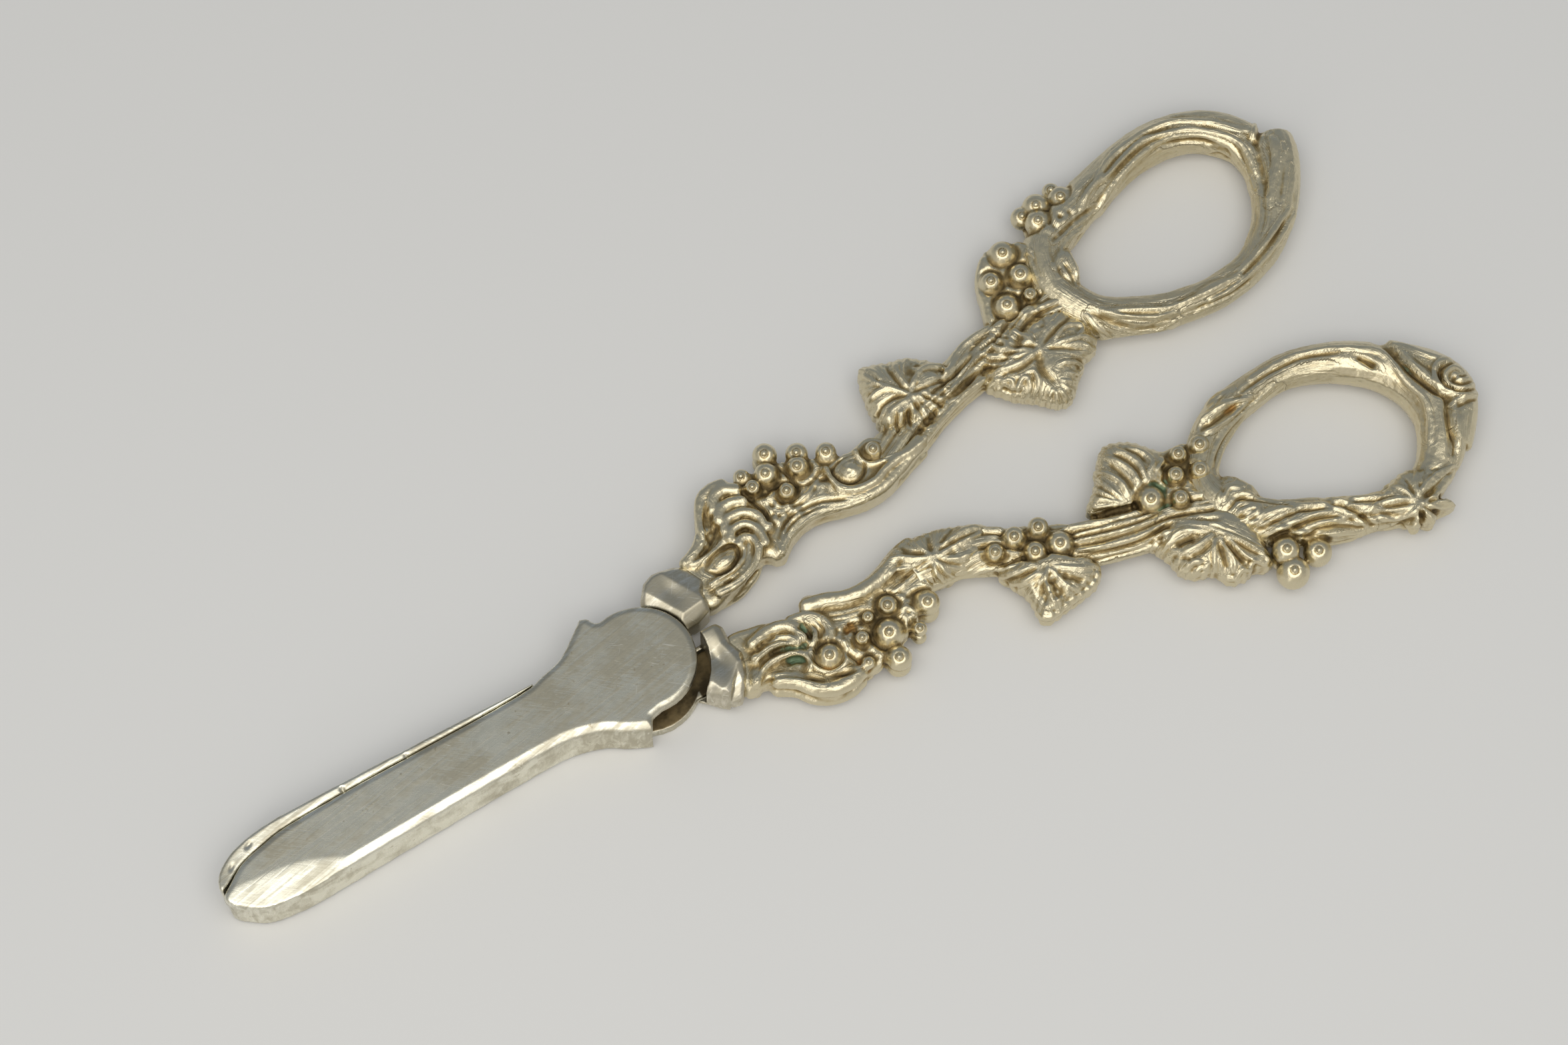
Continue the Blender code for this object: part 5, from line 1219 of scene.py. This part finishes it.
lowerRingPath = [
    (79, -18.6, 3.1), (78.4, -14, 2.5), (81.3, -9.9, 2.45), (86, -7, 2.6), (92, -5.8, 2.4), (98, -5.9, 2.6),
    (104, -8.2, 3), (108.6, -11.9, 3.3), (111.2, -16.6, 3.5), (111.4, -21.5, 3.6), (109, -25.8, 3.3),
    (104.8, -29, 2.6), (99, -30.1, 2.4), (93, -28.4, 2.9), (87.5, -26.2, 3.3), (82.5, -23.4, 3.3)]
lowerBranchPath = [
    (107, -9.6, 2.6), (111.4, -12.6, 2.8), (114.4, -16.2, 3), (115.3, -19.6, 3), (113.6, -22.8, 2.9),
    (110.5, -26.4, 2.6)]
lowerRing = {
    "vines": [(lowerRingPath, ringDepth, True), (lowerBranchPath, ringDepth)],
    "grapes": [(82, -28.4, 1.9, 0.85), (81.5, -31.2, 2.3, 0.1), (85.9, -30.4, 2, 0.1)],
    "leaves": [
        ((80.6, -18.6), [  # behind the ring
            (77, -19), (78.4, -16.6), (80.6, -15), (82.4, -16.3), (83.6, -18.7), (83.1, -20.6), (81, -21.8),
            (78.4, -21)]),
        ((101.1, -31), [  # under the ring
            (95.4, -29.2), (97.5, -27.6), (100, -26.8), (102.5, -26.5), (104.6, -27.4), (107, -28.2),
            (108.5, -30), (105.8, -31.5), (104.6, -32.6), (105.5, -34.4), (103, -33.9), (101.4, -35),
            (100.2, -33.9), (98.9, -34.4), (98.1, -32.6), (96, -31.3)]),
    ],
    "marks": [
        (0.45, 0.5, 0.8, [(92, -4.4), (98, -4.4), (104, -6.2), (107.1, -8), (109.2, -9.8), (109.7, -12.5),
                          (109.8, -15.6), (110.4, -18.6), (109.5, -21.4), (107.6, -24.2)]),
        (-1.1, 0.6, 1, [(106, -8.8), (106.7, -10), (107.4, -11.6)]),
        (-1.5, 0.85, 1, [(110, -7.6), (110.7, -9.6), (111, -12.2), (111.2, -15), (112.2, -18), (113.2, -20.1),
                          (111.9, -22.3), (110.6, -25), (109.1, -27.2)]),
        (0.35, 0.6, 1, [(111.8, -11.6), (112.2, -13.8), (112.8, -15.9)]),
        (0.4, 0.5, 0.9, [(110.8, -8.3), (112.9, -11), (115, -13.8), (116.5, -15.3)]),
        (0.6, 0.42, 0.8, [(117, -15.6), (115, -15.2), (113.5, -16.7), (113.3, -18.6), (114.7, -20.4),
                          (117.4, -21.8)]),
        (0.6, 0.38, 0.8, [(117.6, -18.1), (116.5, -16.8), (115, -17.1), (114.6, -18.6), (115.6, -20),
                          (117.7, -20.4)]),
        (0.5, 0.3, 0.8, [(117.9, -19.3), (116.6, -18.8), (115.9, -17.8)]),
        (-0.6, 0.32, 1, [(117.2, -16.3), (115.2, -16.1), (114.1, -17.2), (114, -18.6), (115.2, -20.2),
                         (117.6, -21.1)]),
        (-0.5, 0.28, 1, [(117.5, -19), (116, -18.2), (115.3, -18.6), (116.4, -19.6), (117.8, -19.9)]),
        (0.4, 0.4, 0.9, [(112.9, -21.2), (114.4, -21.1), (117.1, -21.9)]),
        (-0.4, 0.35, 1, [(113.6, -22), (115.2, -22.1), (117, -22.6)]),
        (0.3, 0.9, 1, [(114.1, -22.9), (112.2, -25), (110.9, -27.4), (109.4, -29)]),
        (-0.6, 0.5, 1, [(111.1, -24.4), (110.4, -26.6), (108.9, -28.4)]),
        # top arc
        (0.4, 0.4, 0.9, [(80.3, -6.6), (82.6, -5.1), (85.6, -4.4), (89, -4.3)]),
        (0.4, 0.35, 0.9, [(81.6, -7.1), (83.2, -6.2), (86.2, -5.9), (89.1, -6.4), (90.4, -6.9)]),
        (0.4, 0.35, 0.9, [(81.6, -7.9), (84.1, -8.2), (86.8, -7.9), (89.6, -7.3)]),
        (-1, 0.6, 1, [(82.2, -7.4), (85, -7.1), (88.5, -6.9)]),
        (0.4, 0.35, 0.9, [(80.6, -13.7), (82.4, -11.9), (84.7, -10.5), (87.4, -9.3), (90, -8.4), (95, -7.6)]),
        (0.4, 0.35, 0.9, [(80, -12.8), (82, -11), (84.4, -9.6), (87, -8.7), (90, -7.9), (94, -7)]),
        (-0.35, 0.3, 1, [(80.4, -13.2), (82.2, -11.5), (84.6, -10.1), (87.2, -9), (90, -8.2)]),
        (-0.35, 0.35, 1, [(90, -5.4), (95, -5), (100, -5.4), (104, -7.2)]),
        # cut stub and its bark
        (0.5, 0.5, 0.8, [(80.2, -22.5), (82.6, -22.2), (85.3, -22.8), (88.3, -24.1)]),
        (0.5, 0.5, 0.8, [(80.5, -25), (84.1, -25), (87.1, -25.3), (90.2, -26.1)]),
        (0.5, 0.5, 0.8, [(83, -26.6), (86, -26.8), (88.7, -27.1), (91.4, -28.6)]),
        (0.5, 0.5, 0.8, [(85.6, -28.6), (88, -28.9), (90.8, -30.1), (92.7, -31)]),
        (-0.7, 0.4, 1, [(80.5, -23.9), (84, -23.8), (87, -24.2), (89.6, -25.2)]),
        (-0.7, 0.4, 1, [(82, -26), (85.5, -25.9), (88.4, -26.3), (91, -27.6)]),
        (-0.7, 0.4, 1, [(85, -27.8), (88, -28), (90.8, -29.2), (92.6, -30.4)]),
        (0.5, 0.35, 0.8, [(89.5, -24.5), (91.1, -26.2), (92.3, -28), (93.2, -30.2), (93.4, -31.3)]),
        (-0.9, 0.45, 1, [(90.5, -24.3), (92.2, -26.4), (93.4, -28.5), (94.2, -31)]),
        (0.4, 0.5, 0.9, [(90.8, -24.9), (93.2, -26.1), (95.6, -27.3), (98, -27.6)]),
        (0.35, 0.4, 0.9, [(92.2, -25.9), (94, -27.5), (96.2, -29.2)]),
        (-0.4, 0.3, 1, [(92.2, -25.2), (94.4, -26.8), (96.8, -28.2)]),
        # leaf under the ring
        (0.4, 0.35, 0.9, [(100.5, -30.3), (98.3, -28.9), (96.2, -28.4), (94.6, -28.9)]),
        (-0.6, 0.5, 1, [(100.2, -30.6), (98.4, -30), (96.8, -29.6)]),
        (0.35, 0.35, 0.9, [(100.8, -30.1), (100.5, -28.6), (99.5, -27.2)]),
        (-0.35, 0.35, 1, [(101.1, -29.9), (101.4, -28.4), (101.4, -27)]),
        (0.35, 0.35, 0.9, [(101.7, -30.1), (102.3, -28.4), (103.5, -27.2)]),
        (-1.1, 0.6, 1, [(101.6, -30.8), (104.1, -30.5), (106.8, -30), (108.4, -29.8)]),
        (0.4, 0.4, 0.9, [(102.3, -29.8), (104.7, -28.9), (107.1, -28.9), (108.6, -29.2)]),
        (0.4, 0.35, 0.9, [(101.2, -31), (102.3, -32.6), (104.8, -33.9)]),
        (0.4, 0.35, 0.9, [(100.8, -31.3), (101.1, -33), (101.7, -34.6)]),
        (-1, 0.5, 1, [(101.4, -31.6), (102.1, -32.8), (103, -34.1)]),
        (-0.9, 0.5, 1, [(102.2, -31.5), (103.6, -31.9), (105, -32)]),
        (-0.9, 0.45, 1, [(100.9, -32), (100.5, -33), (100.1, -34)]),
        (0.4, 0.4, 0.9, [(95.2, -29.4), (96.8, -31.4), (98.9, -32), (100.5, -31.7)]),
        (-0.4, 0.35, 1, [(97.2, -32.2), (98.9, -32.8), (100.4, -32.6)]),
        (0.35, 0.4, 0.9, [(97.6, -32.9), (99, -33.8), (100.2, -34.3)]),
        # leaf behind the ring
        (0.5, 0.3, 0.8, [(78.8, -20.7), (80.2, -20.2), (81.8, -20.6), (82, -21.3), (80.4, -21.5), (79, -21.3),
                         (78.8, -20.7)]),
        (-0.5, 0.4, 1, [(78.2, -19.4), (80.2, -18.6), (82, -18.9)]),
        (0.35, 0.3, 1, [(78.8, -17.6), (80.4, -16.6), (81.8, -17.2)]),
    ],
    "pits": [(84, -29, 3, 0.2, 0.7), (104, -29, 3, 0.15, 0.6)],
    "barks": [(lowerRingPath[:7], 3.4, 0.1, 5, 41), (lowerRingPath[12:] + lowerRingPath[:1], 3.6, 0.2, 8, 43)],
}
castPiece("lowerRingCasting", "lower_half",
          ["lower_finger_ring", "lower_ring_branch", "lower_back_leaf", "lower_ring_leaf", "lower_drop_grapes"],
          castSilver, lowerRing)

# Blades and bolsters: plates and walls, then facets cut into their top faces
bladeForm = {
    "wall": 1.3,
    "discRadius": 7.5,
    "arcStep": 8,  # degrees
    "bevelCurve": 1.25,
    "edgeRounds": 3,
    "lastSettling": 0.3,
    "mostRaised": 0.1,
    "mostCut": 0.9,  # as a share of the depth that the facets may reach
    "levels": (0.01, 6.99),
    "hollow": (60, 0.8),
    "crease": (8, 0.12),
}
# places along the blades, then across: the upper blade's near and far edges and the lower's outer edge
stations = [(-60, -3.5, -0.1, 2.4), (-57.5, -5.1, 1.6, 3.85), (-54, -5.7, 2.6, 4.7), (-50, -5.8, 3.3, 5.0),
            (-40, -5.4, 3.7, 5.0), (-30, -5.0, 3.8, 4.9), (-22, -4.75, 3.9, 4.8)]


def curvedEdge(points):  # a smooth edge through the points, in two columns
    return [(x, y) for x, y in curvePath(points, steps["edge"])[:, :2]]


def discArc(side, start, end):
    count = math.ceil((end - start) / bladeForm["arcStep"])
    radius = bladeForm["discRadius"]
    arc = []
    for i in range(count + 1):
        angle = math.radians(start + (end - start) * i / count)
        arc.append((radius * math.cos(angle), side * (whole["discCentre"] + radius * math.sin(angle))))
    return arc


def wallMesh(edge, side, bottom, top):  # an upright wall along an edge, its thickness towards side
    path = curvePath(edge, steps["wall"])
    inner = path + np.array((0, side * bladeForm["wall"]))
    return plateMesh([*path, *inner[::-1]], bottom, top)


def nodeMesh(name):  # a merged copy of a solid's mesh, in millimetres at the pivot
    bm = bmesh.new()
    bm.from_mesh(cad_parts[name].data)
    bmesh.ops.remove_doubles(bm, verts=bm.verts, dist=1e-6)
    size = whole["millimetre"]
    bmesh.ops.translate(bm, vec=-Vector(framePlace(0, 0)), verts=bm.verts)
    bmesh.ops.scale(bm, vec=(1 / size, 1 / size, 1 / size), verts=bm.verts)
    return meshFrom(bm, name)


def facetDrop(spots, edge, width, depth):  # a bevel that falls towards an edge
    gap, _, _, _ = alongPath(spots, np.array(edge))
    return depth * np.clip(1 - gap / width, 0, 1) ** bladeForm["bevelCurve"]


def sideDrop(spots, line, slope, side, softness=0.15):  # a facet that falls away on one side of a line
    gap, _, _, turned = alongPath(spots, curvePath(line, steps["stroke"]))
    return np.where(turned * side > 0, slope * gap * gap / (gap + softness), 0)


def bladePiece(name, body, solids, material, meshes, form, dropAt):
    mesh = voxelMesh(name, joined(meshes), form["voxel"])
    co, normal, edges = meshArrays(mesh)
    co[:, :2] = relaxed(co[:, :2], edges, bladeForm["edgeRounds"])
    low, depth = form["top"] - form["depth"], form["depth"]
    drop = dropAt(form, co[:, :2]) - strokeLift(foldedView(co), form.get("marks", ()))[0]
    drop = np.clip(drop, -bladeForm["mostRaised"], depth * bladeForm["mostCut"])
    co[:, 2] -= np.clip((co[:, 2] - low) / depth, 0, 1) * drop
    if form.get("bothFaces"):
        co[:, 2] += np.clip((whole["thickness"] - low - co[:, 2]) / depth, 0, 1) * drop
    co = relaxed(co, edges, 1, bladeForm["lastSettling"])
    co[:, 2] = np.clip(co[:, 2], *bladeForm["levels"])
    setPlaces(mesh, co)
    co, normal, edges = meshArrays(mesh)
    for title in ("hollow", "crease"):
        addValues(mesh, title, hollowValues(co, normal, edges, *bladeForm[title]))
    piece = finished(name, mesh, material)
    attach(piece, body)
    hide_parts(*solids)


upperNear = curvedEdge([(-61.5, -1.7), (-60.9, -2.7)] + [(x, y) for x, y, _, _ in stations] + [
    (-17, -4.65), (-13, -4.8), (-9, -5.9), (-6.2, -7.6), (-3.4, -8.9)])
upperFar = curvedEdge([(-61.5, -1.7), (-61.1, -0.9)] + [(x, y) for x, _, y, _ in stations] + [
    (-17, 4.05), (-14, 4.3), (-12.6, 4.75), (-9, 5.8), (-6.2, 7.75), (-4.1, 9.4)]) + [(-3.2, 9.1), (-2.6, 8.0)]
upperOutline = upperNear[1:] + [(-3.3, -8.7), (-2.5, -7.3)] + discArc(1, -97, 105) + upperFar[::-1]
upperBlade = {
    "voxel": 0.18,
    "top": 7.0,
    "depth": 1.6,
    "plate": (5.4, 7.0),
    "walls": ((1.9, 5.8), (0.35, 2.3)),
    "boss": (1.95, 6.0),
    "bossRadius": 5.9,
    "nearBevel": (1.25, 0.62),  # width of the bevel, depth at its outer edge
    "farBevel": (0.8, 0.34),
    "discBevel": (0.8, 0.4),
    "discEdge": [(-3.4, -8.9), (-3.3, -8.7), (-2.5, -7.3)] + discArc(1, -97, -10),
    "bevelStart": -55,  # from here the near bevel grows, over this run, from this share of its depth
    "bevelRun": 13,
    "bevelShare": 0.3,
    "tipRidge": [(-62.5, -0.9), (-60, -0.55), (-57, -0.75), (-53, -1.2), (-50, -1.9), (-47, -3.2),
                 (-44.5, -4.4), (-42.5, -5.2), (-41, -6.2)],
    "tipEnd": -41,
    "tipSlope": 0.17,
    "tipSoftness": 1.0,
    "tipDeepest": 0.9,
}


def upperBladeDrop(form, spots):
    near = facetDrop(spots, curvePath(upperNear, steps["wall"])[:, :2], *form["nearBevel"])
    nearDisc = facetDrop(spots, form["discEdge"], *form["discBevel"])
    far = facetDrop(spots, upperFar + discArc(1, -10, 105)[::-1], *form["farBevel"])
    tip = sideDrop(spots, form["tipRidge"], form["tipSlope"], -1, form["tipSoftness"])
    tip = np.where(spots[:, 0] < form["tipEnd"], np.minimum(tip, form["tipDeepest"]), 0)
    blend = np.clip((spots[:, 0] - form["bevelStart"]) / form["bevelRun"], 0, 1)
    edge = near * (form["bevelShare"] + (1 - form["bevelShare"]) * blend * blend * (3 - 2 * blend))
    return np.maximum.reduce([edge, nearDisc, far, tip])


bladePiece(
    "upperBladeCasting", "upper_half", ["upper_blade"], bladeSilver,
    [plateMesh(upperOutline, *upperBlade["plate"])]
    + [wallMesh(upperNear[1:], 1, *levels) for levels in upperBlade["walls"]]
    + [tubeMesh([(0, whole["discCentre"], level, upperBlade["bossRadius"]) for level in upperBlade["boss"]])],
    upperBlade, upperBladeDrop)

lowerOuter = curvedEdge([(-61.4, 0.1), (-61.0, 1.2)] + [(x, y) for x, _, _, y in stations] + [
    (-17, 4.75), (-13, 4.8), (-9, 5.9), (-6.2, 7.6), (-3.4, 8.9)])
stripInner = curvedEdge([(-61.3, -0.5), (-60, 0.2)] + [(x, y + 0.08) for x, _, y, _ in stations[1:]] + [
    (-17, 4.12), (-13.6, 4.44)])
lowerInner = curvedEdge([  # the lower plate stands back behind the upper blade's wall
    (-60.2, -1.6), (-57.5, -3.4), (-54, -4.1), (-50, -4.2), (-40, -3.8), (-30, -3.4), (-22, -3.15),
    (-17, -3.05), (-13, -3.2), (-9, -4.3), (-6.2, -5.95), (-3.6, -7.2)])
lowerDisc = discArc(-1, -100, 2) + [(10.5, -0.75), (10.5, -6.375)] + discArc(-1, 51.6, 100)
lowerPlate = lowerOuter + [(-2.4, 7.4)] + lowerDisc + lowerInner[::-1]
lowerBlade = {
    "voxel": 0.19,
    "top": 6.8,
    "depth": 1.4,
    "headPlate": (0, 1.15),
    "headRadius": 3.1,
    "shankPlate": (1.05, 1.6),
    "shankShare": 0.58,  # the shank's hole as a share of the head's
    "wall": (0.8, 5.1),
    "wallStart": -60.4,
    "tipPlate": [(-61.4, 0.1), (-61.0, 1.2), (-60.2, 2.1), (-59.5, 1.4), (-60.2, 0.2), (-61.1, -0.35)],
    "strip": (3.8, 6.8),
    "stripEnd": -13.6,
    "lean": 0.17,  # the strip beside the upper blade leans in from its outer edge
    "leanEnd": -13,
    "rim": (0.3, 0.2),  # width and depth
    "marks": [  # nicks in the edge
        (-0.5, 0.3, 1, [(-41.3, 5.4), (-41.1, 4.3)]),
        (-0.4, 0.25, 1, [(-32.1, 5.3), (-31.9, 4.4)]),
        (-0.25, 0.3, 1, [(-55.5, 4.3), (-54.6, 4.7)]),
        (-0.2, 0.25, 1, [(-58.6, 2.6), (-57.9, 3.2)]),
    ],
}
headHole = []
for turn in range(0, 360, 15):
    angle = math.radians(turn)
    headHole.append((lowerBlade["headRadius"] * math.cos(angle), lowerBlade["headRadius"] * math.sin(angle)))
shankHole = [(x * lowerBlade["shankShare"], y * lowerBlade["shankShare"]) for x, y in headHole]


def lowerBladeDrop(form, spots):
    gap, _, _, _ = alongPath(spots, np.array(lowerOuter))
    width, depth = form["rim"]
    rim = depth * np.clip(1 - gap / width, 0, 1)
    return np.where(spots[:, 0] < form["leanEnd"], form["lean"] * gap + rim, 0)


bladePiece(
    "lowerBladeCasting", "lower_half", ["lower_blade"], bladeSilver,
    [plateMesh(lowerPlate, *lowerBlade["headPlate"], hole=headHole),
     plateMesh(lowerPlate, *lowerBlade["shankPlate"], hole=shankHole),
     wallMesh([spot for spot in lowerOuter if spot[0] > lowerBlade["wallStart"]], -1, *lowerBlade["wall"]),
     plateMesh(lowerBlade["tipPlate"], *lowerBlade["wall"]),
     plateMesh([spot for spot in lowerOuter if spot[0] < lowerBlade["stripEnd"]] + stripInner[::-1],
               *lowerBlade["strip"])],
    lowerBlade, lowerBladeDrop)

bolsterForm = {"voxel": 0.15, "top": 6.7, "depth": 2.9, "bothFaces": True}
upperBolster = {
    **bolsterForm,
    "facets": (  # line, slope, and the side of the line that falls: collar, disc and foot
        ([(8.2, 10.9), (8.3, 10.0), (11.6, 3.8), (12.0, 2.6)], 0.5, 1),
        ([(4.2, 9.4), (5.4, 8.3), (8.2, 3.4), (8.6, 2.0)], 0.55, -1),
        ([(6.5, 3.1), (8.2, 3.4), (12.4, 3.9)], 0.8, -1),
    ),
    "dish": (0.25, 8.4, 6.6, 1.2, 1.8),  # depth, place, and reach along and across
}
lowerBolster = {
    **bolsterForm,
    "facets": (
        ([(10.5, 0.8), (10.4, -1.4), (10.2, -2.6), (10.6, -4.2), (10.9, -6.0), (10.6, -6.6)], 0.5, 1),
        ([(6.9, 0.6), (7.2, -1.2), (7.0, -3.4), (5.6, -5.6), (4.4, -6.4)], 0.5, -1),
        ([(4.6, -5.7), (6.6, -6.9), (7.7, -8.5), (10.9, -6.0)], 0.65, -1),
    ),
    "dish": (0.8, 8.9, -4.3, 1.2, 2.2),
}


def bolsterDrop(form, spots):
    facets = [sideDrop(spots, *facet) for facet in form["facets"]]
    depth, along, across, long, wide = form["dish"]
    dish = depth * np.exp(-((spots[:, 0] - along) / long) ** 2 - ((spots[:, 1] - across) / wide) ** 2)
    return np.maximum.reduce(facets) + dish


bladePiece("upperBolsterCasting", "upper_half", ["upper_bolster"], bolsterSilver,
           [nodeMesh("upper_bolster")], upperBolster, bolsterDrop)
bladePiece("lowerBolsterCasting", "lower_half", ["lower_bolster"], bolsterSilver,
           [nodeMesh("lower_bolster")], lowerBolster, bolsterDrop)

for name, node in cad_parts.items():  # the solids that stay in sight, and those under the castings
    node.data.materials.clear()
    node.data.materials.append(screwSteel if name == "pivot_screw" else castSilver)
